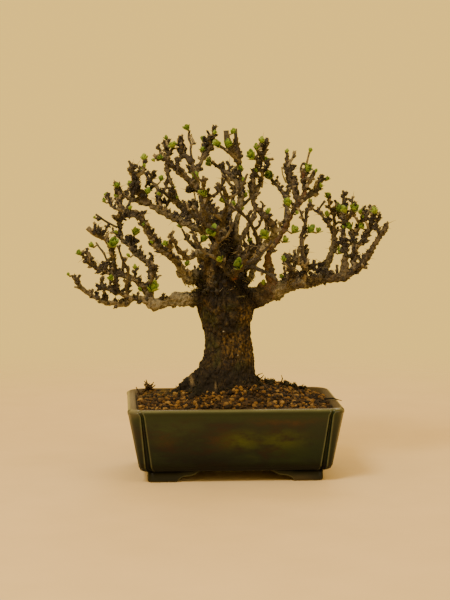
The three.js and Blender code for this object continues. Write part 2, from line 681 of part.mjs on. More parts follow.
// Short spur twigs along every limb and branch, from a fixed seed
function growTwigs(shoots) {
  const draw = seeded(70117);
  const twigs = [];
  const heart = new THREE.Vector3(CROWN_MIDDLE, 0, CROWN_BASE - 10);
  for (const { points, radii } of shoots) {
    let next = TWIG_STEP * (0.3 + 0.4 * draw());
    let travelled = 0;
    for (let i = 1; i < points.length; i++) {
      const span = points[i].distanceTo(points[i - 1]);
      const along = points[i].clone().sub(points[i - 1]).normalize();
      while (next < travelled + span) {
        const t = (next - travelled) / span;
        const root = points[i - 1].clone().lerp(points[i], t);
        const flat = new THREE.Vector3(draw() - 0.5, draw() - 0.5, draw() - 0.5);
        const outward = root.clone().sub(heart).normalize();
        const way = along.clone().multiplyScalar(0.35).addScaledVector(flat, 2.1);
        way.addScaledVector(outward, 0.45).addScaledVector(UP, 0.5).normalize();
        const buried = mix(radii[i - 1], radii[i], t);
        const thick = Math.min(buried * 0.6, 1.15);
        const tip = root.clone().addScaledVector(way, buried + TWIG_LENGTH * (0.6 + 0.9 * draw()));
        twigs.push({ root, tip, thick, bud: draw() < 0.55 });
        next += TWIG_STEP * (0.75 + 0.5 * draw());
      }
      travelled += span;
    }
  }
  return twigs;
}

// A course without the points that hardly bend it
function straightened(points, radii, slack) {
  const kept = [0];
  for (let i = 1; i + 1 < points.length; i++) {
    const run = new THREE.Line3(points[kept[kept.length - 1]], points[i + 1]);
    let bend = 0;
    for (let k = kept[kept.length - 1] + 1; k <= i; k++) {
      const near = run.closestPointToPoint(points[k], true, new THREE.Vector3());
      bend = Math.max(bend, near.distanceTo(points[k]));
    }
    if (bend > slack) kept.push(i);
  }
  kept.push(points.length - 1);
  return [kept.map((i) => points[i]), kept.map((i) => radii[i])];
}

// A shoot that ends in an opening bud, which swells from the wood and closes to a blunt point
function budded(points, radii, sides) {
  const end = points[points.length - 1];
  const way = end.clone().sub(points[points.length - 2]).normalize();
  const swell = [BUD_RADIUS * 0.7, BUD_RADIUS * 1.6].map((far) => end.clone().addScaledVector(way, far));
  return stick([...points, ...swell], [...radii, BUD_RADIUS, 0.6], sides);
}

function treeGeometry() {
  const limbs = growLimbs();
  const pieces = [trunkSolid(0), ...rootSolids(0)];
  for (const { points, radii } of limbs.values()) {
    const sides = radii[0] > 3.6 ? 6 : radii[0] > 2.5 ? 5 : 4;
    const shape = radii[radii.length - 1] < 1.35 ? budded : stick;
    pieces.push(solid(shape(...straightened(points, radii, BEND_SLACK), sides)));
  }
  const branches = growBranches(limbs);
  for (const { points, radii } of branches) pieces.push(solid(budded(points, radii, 4)));
  for (const { root, tip, thick, bud } of growTwigs([...limbs.values(), ...branches])) {
    const shape = bud ? budded : stick;
    pieces.push(solid(shape([root, tip], [thick * 1.25, thick], bud ? 4 : 3)));
  }
  return geometryOf(joined(pieces).simplify(0.15));
}

// A tuft of wild seedling stems at the back left corner of the soil
function sprigGeometry() {
  const draw = seeded(915);
  const foot = new THREE.Vector3(-66, 26, soilHeight(-66, 26));
  const stems = [solid(stick([foot.clone().setZ(foot.z - 5), foot.clone().setZ(foot.z + 4)], [1.1, 0.9], 6))];
  for (let i = 0; i < 14; i++) {
    const turn = i * 2.4;
    const lean = 0.35 + 0.75 * draw();
    const length = 6 + 5 * draw();
    const way = new THREE.Vector3(Math.cos(turn) * lean, Math.sin(turn) * lean, 1).normalize();
    const start = foot.clone().setZ(foot.z + 1.5 + 2 * draw());
    const knee = start.clone().addScaledVector(way, length * 0.55);
    const end = start.clone().addScaledVector(way, length);
    end.z += 1.2;
    stems.push(solid(stick([start, knee, end], [0.7, 0.6, 0.4], 3)));
  }
  return geometryOf(joined(stems));
}

function sprigHollow() {
  const hole = new THREE.CylinderGeometry(1.1 + GAP + 0.2, 1.1 + GAP + 0.2, 9, 8);
  hole.rotateX(Math.PI / 2);
  hole.translate(-66, 26, soilHeight(-66, 26) - 1);
  return solid(hole);
}

const LOOKS = {
  glaze: { color: 0x3a4a2c, roughness: 0.25, metalness: 0 },
  bark: { color: 0x4a3a26, roughness: 0.9, metalness: 0 },
  soil: { color: 0x9a6c38, roughness: 1, metalness: 0 },
  grit: { color: 0x8f8a80, roughness: 1, metalness: 0 },
  plastic: { color: 0x23261f, roughness: 0.6, metalness: 0 },
  wire: { color: 0x8a5a36, roughness: 0.4, metalness: 0.9 },
  weed: { color: 0x3a3a1c, roughness: 0.9, metalness: 0 },
};

const bonsai = new THREE.Group();

function place(name, geometry, look) {
  const mesh = new THREE.Mesh(geometry, new THREE.MeshStandardMaterial(LOOKS[look]));
  mesh.name = name;
  bonsai.add(mesh);
  return mesh;
}

const rootHollow = joined([trunkSolid(0.5), ...rootSolids(0.5), sprigHollow()]);

place("pot", potGeometry(), "glaze");
place("drain_screen_left", screenGeometry(-1), "plastic");
place("drain_screen_right", screenGeometry(1), "plastic");
place("screen_clip_left", clipGeometry(-1), "wire");
place("screen_clip_right", clipGeometry(1), "wire");
place("drainage_grit", gritGeometry(), "grit");
place("soil", soilGeometry(rootHollow), "soil");
place("tree", treeGeometry(), "bark");
place("weed_tuft", sprigGeometry(), "weed");

// The origin goes to the bottom centre of the box round everything
const box = new THREE.Box3().setFromObject(bonsai);
const middle = box.getCenter(new THREE.Vector3());
bonsai.position.set(-middle.x, -middle.y, -box.min.z);

export default bonsai;
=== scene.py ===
"""A small barberry bonsai in bud, in a dark green glazed pot on four bracket feet.

Shapes are worked out in millimetres from the pot's centre and become metres when a piece is made.
"""

import math

import bmesh
import bpy
import numpy as np
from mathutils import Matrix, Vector, noise
from mathutils.kdtree import KDTree


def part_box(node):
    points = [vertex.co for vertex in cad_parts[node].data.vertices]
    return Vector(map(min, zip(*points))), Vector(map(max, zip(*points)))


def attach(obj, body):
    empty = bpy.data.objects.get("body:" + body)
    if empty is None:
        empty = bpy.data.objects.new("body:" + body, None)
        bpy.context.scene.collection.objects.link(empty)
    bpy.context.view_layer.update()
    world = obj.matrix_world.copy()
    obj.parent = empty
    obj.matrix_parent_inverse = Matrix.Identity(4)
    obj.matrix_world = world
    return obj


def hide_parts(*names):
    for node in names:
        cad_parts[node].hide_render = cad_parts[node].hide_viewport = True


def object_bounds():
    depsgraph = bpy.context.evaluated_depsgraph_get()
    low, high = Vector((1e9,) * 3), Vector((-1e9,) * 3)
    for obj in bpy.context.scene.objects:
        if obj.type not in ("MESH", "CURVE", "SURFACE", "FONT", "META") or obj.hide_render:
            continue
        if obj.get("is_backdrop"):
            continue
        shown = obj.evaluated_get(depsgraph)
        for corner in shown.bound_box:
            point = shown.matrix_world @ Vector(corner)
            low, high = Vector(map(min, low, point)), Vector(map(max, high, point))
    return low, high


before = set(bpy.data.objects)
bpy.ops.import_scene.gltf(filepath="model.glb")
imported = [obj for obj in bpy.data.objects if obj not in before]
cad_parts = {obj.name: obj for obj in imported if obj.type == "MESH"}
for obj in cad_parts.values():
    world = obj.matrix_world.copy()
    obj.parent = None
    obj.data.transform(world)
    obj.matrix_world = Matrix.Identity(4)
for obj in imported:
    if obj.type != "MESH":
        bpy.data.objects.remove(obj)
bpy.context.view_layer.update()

# Without a seed, vector noise would differ from run to run
noise.seed_set(5)

MM = 0.001
UP = np.array([0.0, 0.0, 1.0])
GOLDEN_TURN = math.radians(137.5)

# A whole turn, near enough for turns that are drawn at random
ANY_TURN = 6.28

# The pot's sizes, as in the frame
RIM_HALF_WIDTH = 83.5
RIM_HALF_DEPTH = 59.0
POT_HEIGHT = 58.5
FOOT_HEIGHT = 8.7
BASE_HALF_WIDTH = 73.8
BASE_HALF_DEPTH = 49.5
LIP_WIDTH = 7.0
LIP_CORNER = 15.0
FLOOR_TOP = 14.0
FLOOR_HALF_WIDTH = 67.0
FLOOR_HALF_DEPTH = 43.0

# The soil's sizes
SOIL_EDGE = 55.5
SOIL_MOUND = 15.0

# The crown's dome
CROWN_BASE = 158.0
CROWN_MIDDLE = -3.0
CROWN_HALF_WIDTH = 127.0
CROWN_HALF_DEPTH = 84.0
CROWN_HEIGHT = 119.0
CROWN_SHIFT = 2.4

# The trunk, and how the limbs kink and branch
TRUNK_SHIFT = 1.0
TRUNK_FLATNESS = 0.94
CROOK_LENGTH = 12.0
BRANCH_STEP = 26.0
BRANCH_LENGTH = 27.0

# The place that the bonsai is seen from, and the camera's turns in degrees and focal length
EYE = (-90.0, -1340.0, 269.0)
VIEW_TURN = 3.6
VIEW_DROP = 5.61
LENS = 102.0

low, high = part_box("pot")
POT_CENTRE = np.array([(low[0] + high[0]) / 2, (low[1] + high[1]) / 2, low[2]])


def to_metres(points):
    """Points in millimetres from the pot's centre, as places in the frame."""
    return np.asarray(points, dtype=float) * MM + POT_CENTRE


def to_millimetres(places):
    """Places in the frame, as points in millimetres from the pot's centre."""
    return (places - POT_CENTRE) / MM


# Camera

camera_data = bpy.data.cameras.new("camera")
camera_data.sensor_width = 36.0
camera_data.lens = LENS
camera = bpy.data.objects.new("camera", camera_data)
camera.location = to_metres(EYE)
camera.rotation_euler = (math.radians(90 - VIEW_DROP), 0.0, math.radians(-VIEW_TURN))
bpy.context.collection.objects.link(camera)
bpy.context.scene.camera = camera


# Shader maths


class Value:
    """A shader socket that takes arithmetic."""

    def __init__(self, finish, socket):
        self.finish = finish
        self.socket = socket

    def math(self, operation, *others):
        return self.finish.node("ShaderNodeMath", {"operation": operation}, [self, *others])

    def __add__(self, other):
        return self.math("ADD", other)

    def __mul__(self, other):
        return self.math("MULTIPLY", other)

    def __sub__(self, other):
        return self.math("SUBTRACT", other)

    def __rsub__(self, other):
        return self.finish.node("ShaderNodeMath", {"operation": "SUBTRACT"}, [other, self])

    __radd__ = __add__
    __rmul__ = __mul__

    def step(self, start, end):
        """0 below start and 1 above end, smooth between."""
        settings = {"interpolation_type": "SMOOTHSTEP"}
        return self.finish.node("ShaderNodeMapRange", settings, {0: self, 1: start, 2: end})

    def capped(self, most):
        return self.math("MINIMUM", most)


def any_of(first, *others):
    """The highest of some values."""
    for other in others:
        first = first.math("MAXIMUM", other)
    return first


class Finish:
    """A material made of nodes round one principled shader."""

    def __init__(self, name, **fixed):
        self.material = bpy.data.materials.new(name)
        self.material.use_nodes = True
        self.tree = self.material.node_tree
        self.shader = self.tree.nodes["Principled BSDF"]
        for socket, value in fixed.items():
            self.shader.inputs[socket.replace("_", " ")].default_value = value
        metres = self.node("ShaderNodeTexCoord", output="Object")
        self.place = self.vectors("MULTIPLY", metres, (1 / MM,) * 3)

    def node(self, kind, settings=None, inputs=None, output=0):
        """A node of a kind, with its settings, then its sockets' values or links by name or order."""
        made = self.tree.nodes.new(kind)
        for key, value in (settings or {}).items():
            if key == "stops":
                self.set_stops(made.color_ramp, value)
            else:
                setattr(made, key, value)
        pairs = enumerate(inputs) if isinstance(inputs, list) else (inputs or {}).items()
        for key, value in pairs:
            self.feed(made.inputs[key], value)
        return Value(self, made.outputs[output])

    def set_stops(self, ramp, stops):
        while len(ramp.elements) < len(stops):
            ramp.elements.new(0.5)
        for element, (place, color) in zip(ramp.elements, stops):
            element.position = place
            element.color = (*color, 1.0)

    def feed(self, socket, value):
        if isinstance(value, Value):
            self.tree.links.new(value.socket, socket)
        elif isinstance(value, tuple) and len(value) == 3 and socket.type == "RGBA":
            socket.default_value = (*value, 1.0)
        else:
            socket.default_value = value

    def set(self, **sockets):
        for name, value in sockets.items():
            self.feed(self.shader.inputs[name.replace("_", " ")], value)

    def vectors(self, operation, *values, output=0):
        return self.node("ShaderNodeVectorMath", {"operation": operation}, list(values), output)

    def stretched(self, x, y, z):
        return self.vectors("MULTIPLY", self.place, (x, y, z))

    def noise(self, size, detail=3.0, roughness=0.55, place=None, distortion=0.0):
        """Cloudy values round 0.5 with lumps of about the given size in millimetres."""
        inputs = {
            "Vector": place or self.place,
            "Scale": 1.0 / size,
            "Detail": detail,
            "Roughness": roughness,
            "Distortion": distortion,
        }
        return self.node("ShaderNodeTexNoise", None, inputs)

    def cells(self, size, feature="F1", output="Distance", place=None):
        inputs = {"Vector": place or self.place, "Scale": 1.0 / size}
        return self.node("ShaderNodeTexVoronoi", {"feature": feature}, inputs, output)

    def warped(self, place, size, share):
        """The place pushed about by noise, so that cells and streaks don't run straight."""
        inputs = {"Vector": self.place, "Scale": 1.0 / size, "Detail": 3.0}
        push = self.node("ShaderNodeTexNoise", None, inputs, "Color")
        return self.vectors("MULTIPLY_ADD", push, (share,) * 3, place)

    def ramp(self, value, stops):
        return self.node("ShaderNodeValToRGB", {"stops": stops}, {0: value})

    def mixed(self, first, second, share, mode="MIX"):
        settings = {"data_type": "RGBA", "blend_type": mode}
        return self.node("ShaderNodeMix", settings, {0: share, 6: first, 7: second}, 2)

    def kept(self, name):
        """A number stored on the mesh."""
        return self.node("ShaderNodeAttribute", {"attribute_name": name}, None, "Fac")

    def height(self):
        return self.node("ShaderNodeSeparateXYZ", None, {0: self.place}, "Z")

    def bumps(self, height, depth, strength=1.0):
        """Relief of the given depth in millimetres."""
        inputs = {"Strength": strength, "Distance": depth * MM, "Height": height}
        self.set(Normal=self.node("ShaderNodeBump", None, inputs))


# Mesh making


class Stock:
    """Gathers points in millimetres, faces and numbers kept on the points, and makes one piece."""

    def __init__(self):
        self.points = []
        self.faces = {}
        self.numbers = {}
        self.count = 0

    def add(self, points, faces, **numbers):
        points = np.asarray(points, dtype=float).reshape(-1, 3)
        for some in faces:
            some = np.asarray(some, dtype=np.int64)
            self.faces.setdefault(some.shape[1], []).append(some + self.count)
        for name, value in numbers.items():
            values = np.broadcast_to(np.asarray(value, dtype=float), (len(points),))
            self.numbers.setdefault(name, []).append(values)
        self.points.append(points)
        self.count += len(points)

    def mesh(self, name):
        mesh = bpy.data.meshes.new(name)
        points = to_metres(np.concatenate(self.points))
        loops, starts = [], []
        filled = 0
        for sides, blocks in self.faces.items():
            block = np.concatenate(blocks)
            loops.append(block.ravel())
            starts.append(filled + np.arange(len(block)) * sides)
            filled += block.size
        mesh.vertices.add(len(points))
        mesh.vertices.foreach_set("co", points.ravel())
        mesh.loops.add(filled)
        mesh.loops.foreach_set("vertex_index", np.concatenate(loops).astype(np.int32))
        starts = np.concatenate(starts).astype(np.int32)
        mesh.polygons.add(len(starts))
        mesh.polygons.foreach_set("loop_start", starts)
        mesh.update(calc_edges=True)
        for key, values in self.numbers.items():
            layer = mesh.attributes.new(key, "FLOAT", "POINT")
            layer.data.foreach_set("value", np.concatenate(values).astype(np.float32))
        mesh.validate()
        return mesh


def add_piece(mesh, finish, smooth=True):
    """A visible piece that stands still, with its finish and the slot that the finish belongs to."""
    piece = bpy.data.objects.new(mesh.name, mesh)
    bpy.context.collection.objects.link(piece)
    mesh.materials.clear()
    mesh.materials.append(finish.material)
    mesh.polygons.foreach_set("use_smooth", np.full(len(mesh.polygons), smooth))
    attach(piece, "root")
    return piece


def applied(piece):
    """The piece's modifiers become part of its mesh."""
    shaped = piece.evaluated_get(bpy.context.evaluated_depsgraph_get())
    mesh = bpy.data.meshes.new_from_object(shaped)
    old = piece.data
    mesh.name = old.name
    piece.modifiers.clear()
    piece.data = mesh
    bpy.data.meshes.remove(old)
    return mesh


def unit(vectors):
    return vectors / (np.linalg.norm(vectors, axis=-1, keepdims=True) + 1e-9)


def skin_faces(bars, rings, sides):
    """Quads round the rings of each bar, and a closing face at each of its ends."""
    index = np.arange(bars * rings * sides).reshape(bars, rings, sides)
    ahead = np.roll(index, -1, axis=2)
    quads = np.stack([index[:, :-1], ahead[:, :-1], ahead[:, 1:], index[:, 1:]], -1).reshape(-1, 4)
    return [quads, index[:, 0, ::-1], index[:, -1]]


def lofted(stock, rings, flip=False, **numbers):
    """A closed skin over rings of equal point count."""
    points = np.array(rings)
    faces = skin_faces(1, *points.shape[:2])
    if flip:
        faces = [face[:, ::-1] for face in faces]
    stock.add(points, faces, **numbers)


def tubes(courses, radii, sides):
    """Round bars of equal point count: courses are bars x points x 3, radii are bars x points."""
    courses = np.asarray(courses, dtype=float)
    radii = np.asarray(radii, dtype=float)
    bars, rings = radii.shape
    along = unit(np.gradient(courses, axis=1))
    across = unit(np.cross(along[:, 0], [0.31, 0.92, 0.11]))
    turns = np.arange(sides) * 2 * math.pi / sides
    points = np.empty((bars, rings, sides, 3))
    for ring in range(rings):
        way = along[:, ring]
        across = unit(across - way * np.sum(across * way, axis=1, keepdims=True))
        other = np.cross(way, across)
        circle = np.cos(turns)[:, None] * across[:, None] + np.sin(turns)[:, None] * other[:, None]
        points[:, ring] = courses[:, ring, None] + radii[:, ring, None, None] * circle
    return points, skin_faces(bars, rings, sides)


def ball_shape(subdivisions):
    ball = bmesh.new()
    bmesh.ops.create_icosphere(ball, subdivisions=subdivisions, radius=1.0)
    points = np.array([v.co for v in ball.verts])
    faces = np.array([[v.index for v in f.verts] for f in ball.faces])
    ball.free()
    return points, faces


def smoothed(points, radii, step):
    """A smooth course through the points, with a point about every step."""
    points = np.asarray(points, dtype=float)
    radii = np.asarray(radii, dtype=float)
    ends = np.vstack([2 * points[0] - points[1], points, 2 * points[-1] - points[-2]])
    course, widths = [], []
    for i in range(len(points) - 1):
        a, b, c, d = ends[i : i + 4]
        pieces = max(int(round(np.linalg.norm(c - b) / step)), 1)
        for k in range(pieces):
            t = k / pieces
            bend = 2 * b + (c - a) * t + (2 * a - 5 * b + 4 * c - d) * t**2 + (3 * b - a - 3 * c + d) * t**3
            course.append(bend / 2)
            widths.append(radii[i] * (1 - t) + radii[i + 1] * t)
    course.append(points[-1])
    widths.append(radii[-1])
    return np.array(course), np.array(widths)


def seeded(seed):
    """One draw after another from a fixed seed, each from 0 to 1."""
    state = seed

    def draw():
        nonlocal state
        state = (state * 48271) % 2147483647
        return state / 2147483647

    return draw


def mix(a, b, t):
    return a + (b - a) * t


def skin_points(mesh):
    """Every point of a mesh in millimetres, and its normal."""
    found = []
    for kind in ("co", "normal"):
        values = np.empty(len(mesh.vertices) * 3)
        mesh.vertices.foreach_get(kind, values)
        found.append(values.reshape(-1, 3))
    return to_millimetres(found[0]), found[1]


# The tree's frame: the same courses as in the solid

# The trunk: height, middle along x and radius
TRUNK = [
    (41, -9, 22),
    (44, -9, 33),
    (58, -9, 36),
    (64, -9, 32),
    (70, -7, 27.5),
    (78, -6, 24),
    (90, -3.5, 20),
    (102, -3, 18.4),
    (110, -3.5, 18.2),
    (118, -4.5, 19),
    (129, -5, 21.5),
    (137, -6, 22),
    (145, -8, 19.5),
    (153, -10, 16.8),
    (163, -11, 14),
    (173, -11, 10),
    (185, -9, 7),
    (197, -8, 5.2),
    (208, -7, 3.8),
]

# Surface roots: direction in degrees, how far it runs out and how stout it is
ROOTS = [
    (185, 37, 5.5),
    (225, 34, 5),
    (262, 31, 5),
    (300, 30, 4.5),
    (345, 36, 5),
    (30, 42, 5),
    (75, 38, 5.5),
    (130, 42, 5),
]

# Limbs: name, what it grows from, radius at root and tip, reach to back or front, course as seen
LIMBS = [
    ("low_right", "trunk", 7, 4.8, -0.1,
        (8, 138), (17, 139), (25, 142), (33, 145), (40, 148), (47, 150), (56, 151)),
    ("low_left", "trunk", 5.2, 4.3, -0.1,
        (-16, 139), (-29, 139), (-41, 138), (-53, 136), (-62, 134), (-69, 134)),
    ("low_left_tip", "low_left", 2.6, 1, -0.5,
        (-67, 135), (-73, 138), (-82, 138), (-87, 135), (-95, 135), (-104, 136), (-113, 141), (-121, 147),
        (-127, 154), (-129, 158)),
    ("low_left_riser", "low_left", 3, 1.3, 0.6,
        (-68, 135), (-68, 145), (-66, 156), (-66, 163), (-71, 169), (-77, 173), (-85, 182), (-90, 187),
        (-91, 197), (-91, 206), (-93, 217)),
    ("low_left_spray", "low_left_riser", 2.4, 1, -0.3,
        (-69, 143), (-75, 150), (-84, 156), (-93, 158), (-103, 160), (-112, 164), (-118, 169),
        (-121, 175)),
    ("low_left_fork", "low_left_spray", 1.8, 1.1, -0.6,
        (-94, 158), (-96, 168), (-98, 178), (-101, 185), (-107, 188), (-113, 193)),
    ("low_left_rod", "low_left_tip", 1.3, 0.9, -0.7, (-85, 138), (-85, 153), (-88, 167), (-91, 181)),
    ("low_left_thin", "low_left_spray", 1, 0.8, 0.3, (-95, 158), (-102, 171), (-106, 178), (-110, 183)),
    ("low_left_tuft", "low_left_tip", 2.1, 1, -0.3, (-82, 138), (-90, 143), (-100, 146), (-107, 149)),
    ("low_left_bud", "low_left_tuft", 1.4, 1, -0.4, (-93, 143), (-95, 150), (-95, 157)),
    ("low_left_side", "low_left_riser", 1.4, 1, -0.5, (-66, 150), (-64, 157), (-65, 165)),
    ("mid_left", "trunk", 3.7, 1.6, -0.35,
        (-18, 156), (-27, 157), (-33, 154), (-37, 153), (-41, 159), (-45, 166), (-53, 174), (-61, 179),
        (-66, 186), (-70, 192), (-73, 201), (-76, 206)),
    ("mid_left_arch", "trunk", 3, 1.5, -0.75,
        (-18, 165), (-24, 172), (-30, 174), (-35, 171), (-39, 171), (-44, 176), (-48, 182), (-52, 190)),
    ("mid_left_bud", "mid_left", 1.5, 1, -0.6, (-50, 172), (-51, 180), (-52, 185)),
    ("mid_left_high", "mid_left", 1.9, 1, -0.1, (-74, 201), (-81, 205), (-87, 208), (-90, 213), (-90, 219)),
    ("mid_left_twig", "mid_left_high", 1.3, 0.8, 0.3, (-87, 207), (-94, 210), (-98, 213), (-101, 219)),
    ("up_left", "trunk", 2.9, 1.3, -0.2,
        (-10, 191), (-24, 192), (-33, 195), (-39, 198), (-46, 201), (-53, 205), (-61, 209), (-67, 212),
        (-75, 215), (-81, 217), (-87, 219), (-92, 224), (-94, 229)),
    ("up_left_clump", "up_left", 2.8, 1.5, -0.4,
        (-70, 214), (-73, 219), (-76, 223), (-79, 228), (-80, 233), (-81, 238), (-82, 245)),
    ("up_left_bud", "up_left_clump", 1.5, 1, 0.1, (-80, 235), (-73, 238), (-72, 243), (-72, 247)),
    ("up_left_pale", "up_left", 1.5, 1, 0.5,
        (-59, 209), (-60, 215), (-61, 221), (-62, 227), (-66, 231), (-72, 239)),
    ("high_left", "trunk", 2.6, 1.3, 0.35,
        (-13, 196), (-24, 199), (-34, 204), (-39, 208), (-44, 212), (-47, 218), (-49, 224), (-51, 231),
        (-53, 236), (-54, 242), (-53, 250), (-53, 257), (-54, 263)),
    ("high_left_stub", "high_left", 1.8, 1.1, -0.2, (-45, 214), (-52, 219), (-56, 222), (-61, 225)),
    ("high_left_bud", "high_left", 1.2, 0.9, 0.1, (-52, 251), (-50, 255), (-49, 258)),
    ("crown_left", "trunk", 2.6, 1.2, -0.6,
        (-11, 190), (-18, 197), (-24, 205), (-25, 212), (-27, 218), (-28, 222), (-32, 227), (-40, 235),
        (-45, 239), (-50, 244), (-55, 248), (-63, 250)),
    ("crown_left_shoot", "crown_left", 1.3, 0.8, 0.1,
        (-30, 225), (-31, 234), (-32, 240), (-35, 253), (-35, 260), (-37, 266), (-36, 271)),
    ("crown_left_clump", "crown_left_shoot", 2.2, 1.5, 0.3,
        (-33, 246), (-38, 250), (-42, 254), (-43, 260), (-42, 266)),
    ("crown_fork", "crown_left", 2.4, 1.4, 0.3,
        (-31, 226), (-31, 238), (-28, 244), (-25, 249), (-23, 253), (-20, 259), (-18, 263), (-17, 267)),
    ("crown_fork_twig", "crown_fork", 1.4, 1, 0.5, (-24, 251), (-24, 256), (-25, 262)),
    ("crown_fork_tip", "crown_fork", 1.4, 1, 0.1, (-20, 259), (-21, 263), (-21, 267)),
    ("front_left", "trunk", 3, 1.2, -0.95,
        (-14, 187), (-20, 197), (-24, 204), (-25, 213), (-25, 220), (-25, 227), (-24, 234)),
    ("front_left_twig", "front_left", 1.4, 0.9, -0.9, (-23, 203), (-18, 206), (-15, 210)),
    ("leader_back", "leader", 2.2, 1.2, 0.4,
        (4, 224), (1, 230), (-4, 236), (-8, 239), (-12, 242), (-19, 246)),
    ("leader", "trunk", 3, 1.4, -0.1,
        (-7, 178), (-1, 185), (0, 192), (2, 204), (4, 213), (5, 223), (5, 230), (4, 237), (3, 245),
        (3, 253), (1, 266), (0, 271)),
    ("leader_stub", "leader", 2.4, 1.9, 0.1, (3, 249), (-3, 259), (-6, 265), (-7, 269)),
    ("leader_bud", "leader", 1.7, 1, -0.4, (3, 247), (-5, 254), (-11, 258), (-14, 261)),
    ("crown_right", "trunk", 2.4, 1.6, 0.35,
        (-7, 172), (0, 177), (4, 185), (7, 189), (12, 199), (15, 204), (16, 210), (13, 220), (14, 227),
        (16, 240), (21, 249), (24, 259), (25, 264)),
    ("crown_right_bud", "crown_right", 1.5, 1, -0.2, (21, 250), (18, 254), (16, 258)),
    ("crown_right_stub", "crown_right", 1.3, 1, 0.1, (23, 256), (21, 260), (21, 263)),
    ("crown_right_tip", "crown_right", 1.3, 0.9, 0.6,
        (14, 216), (17, 221), (20, 231), (22, 238), (25, 243), (26, 249)),
    ("front_cross", "trunk", 1.9, 1.1, -0.85,
        (-6, 167), (9, 172), (18, 182), (16, 190), (12, 198), (5, 207), (0, 212)),
    ("riser", "low_right", 3.3, 1.6, -0.3,
        (29, 146), (28, 155), (27, 162), (26, 170), (28, 178), (31, 182), (36, 188), (39, 193), (42, 200),
        (45, 206), (51, 213), (54, 219), (55, 226), (54, 234), (54, 240)),
    ("riser_shoot", "riser", 1.3, 0.8, -0.1, (53, 227), (54, 234), (52, 241), (54, 245)),
    ("riser_clump", "riser", 2.2, 1.4, 0.1, (54, 217), (60, 221), (65, 224), (67, 230), (70, 233)),
    ("riser_stub", "riser", 2.3, 1.3, 0.3,
        (50, 214), (48, 221), (46, 232), (42, 237), (41, 244), (41, 253)),
    ("riser_twig", "riser", 1.2, 0.9, -0.5, (57, 224), (60, 232), (63, 237)),
    ("pale_limb", "trunk", 4.3, 2, -0.55,
        (-5, 167), (10, 174), (17, 177), (23, 180), (28, 185), (31, 190), (31, 195), (27, 199), (22, 205),
        (17, 210)),
    ("pale_fork", "riser", 2.2, 1.2, 0.5,
        (39, 197), (41, 204), (41, 211), (40, 218), (37, 223), (34, 227), (29, 232), (28, 237)),
    ("pale_tip", "pale_fork", 1.6, 1, 0.8, (40, 218), (43, 225), (43, 230), (43, 236)),
    ("cross_limb", "trunk", 2, 1.2, -0.8, (0, 164), (8, 163), (14, 163), (22, 160), (28, 157), (33, 153)),
    ("side_spur", "trunk", 2.4, 1.3, 0.6, (6, 150), (12, 154), (14, 159), (15, 165), (19, 172)),
    ("low_right_end", "low_right", 4, 1.3, -0.3,
        (54, 151), (66, 152), (80, 154), (90, 156), (100, 164), (106, 172), (111, 180), (115, 187),
        (119, 192), (121, 198)),
    ("low_right_arch", "low_right", 1.9, 1.2, -0.6, (58, 152), (57, 162), (52, 165), (46, 167), (42, 171)),
    ("low_right_bud", "low_right", 1.5, 1, -0.7, (43, 147), (44, 156), (42, 163)),
    ("right_rod", "low_right", 2.2, 1.1, -0.4,
        (56, 151), (55, 162), (54, 170), (53, 179), (53, 188), (54, 191), (56, 200), (57, 210)),
    ("right_limb", "low_right_end", 3, 1.6, 0.5,
        (67, 153), (71, 162), (75, 169), (78, 177), (79, 183), (78, 189), (75, 196), (72, 201)),
    ("right_limb_shoot", "right_limb", 1.4, 0.9, 0.2,
        (77, 187), (79, 196), (78, 204), (75, 211), (74, 217)),
    ("right_limb_thin", "right_limb", 1.2, 0.8, 0.7, (73, 200), (68, 205), (62, 209), (60, 213)),
    ("right_rise", "low_right_end", 2.5, 0.9, 0.2,
        (86, 157), (88, 167), (88, 175), (87, 183), (86, 191), (87, 200), (87, 210), (87, 220)),
    ("right_rise_left", "right_rise", 1.6, 1, 0.6, (87, 198), (83, 205), (82, 210)),
    ("right_rise_right", "right_rise", 1.6, 1, -0.5, (87, 197), (91, 203), (94, 209), (96, 214)),
    ("right_fan", "low_right_end", 1.9, 0.9, 0.5,
        (94, 160), (95, 170), (94, 179), (94, 186), (98, 194), (102, 202), (106, 207), (109, 210)),
    ("right_fork", "right_fan", 1.6, 1, -0.2,
        (95, 177), (101, 182), (105, 188), (108, 195), (110, 202), (112, 207)),
    ("right_fork_tip", "right_fork", 1.3, 0.9, -0.5, (107, 193), (112, 197), (116, 205)),
    ("front_low", "trunk", 3, 1.2, -0.86, (-4, 148), (-3, 153), (0, 158), (4, 163), (7, 167), (9, 173)),
    ("front_mid", "trunk", 2.8, 1.2, -0.9, (-9, 160), (-13, 168), (-16, 178), (-15, 188), (-13, 195)),
    ("front_high", "trunk", 2.6, 1.2, -0.86,
        (-9, 185), (-10, 194), (-10, 202), (-7, 210), (-7, 216), (-8, 222), (-14, 229)),
    ("back_low_left", "trunk", 3.2, 1.2, 0.95,
        (-10, 150), (-17, 158), (-25, 167), (-31, 180), (-34, 192), (-36, 203)),
    ("back_low_right", "trunk", 3.2, 1.2, 0.95,
        (-4, 150), (6, 160), (14, 170), (20, 182), (24, 194), (26, 205)),
    ("back_mid", "trunk", 2.9, 1.2, 1, (-9, 179), (-10, 190), (-8, 199), (-4, 210)),
    ("back_high", "trunk", 2.8, 1.2, 0.85, (-10, 191), (-7, 201), (-3, 210), (-1, 220), (1, 229), (0, 238)),
]


def dome_depth(x, z):
    """How far the crown's dome reaches to the front or back at a place as seen."""
    u = (x - CROWN_MIDDLE) / CROWN_HALF_WIDTH
    w = max(z - CROWN_BASE, 0) / CROWN_HEIGHT
    return CROWN_HALF_DEPTH * math.sqrt(max(1 - u * u - w * w, 0.03))


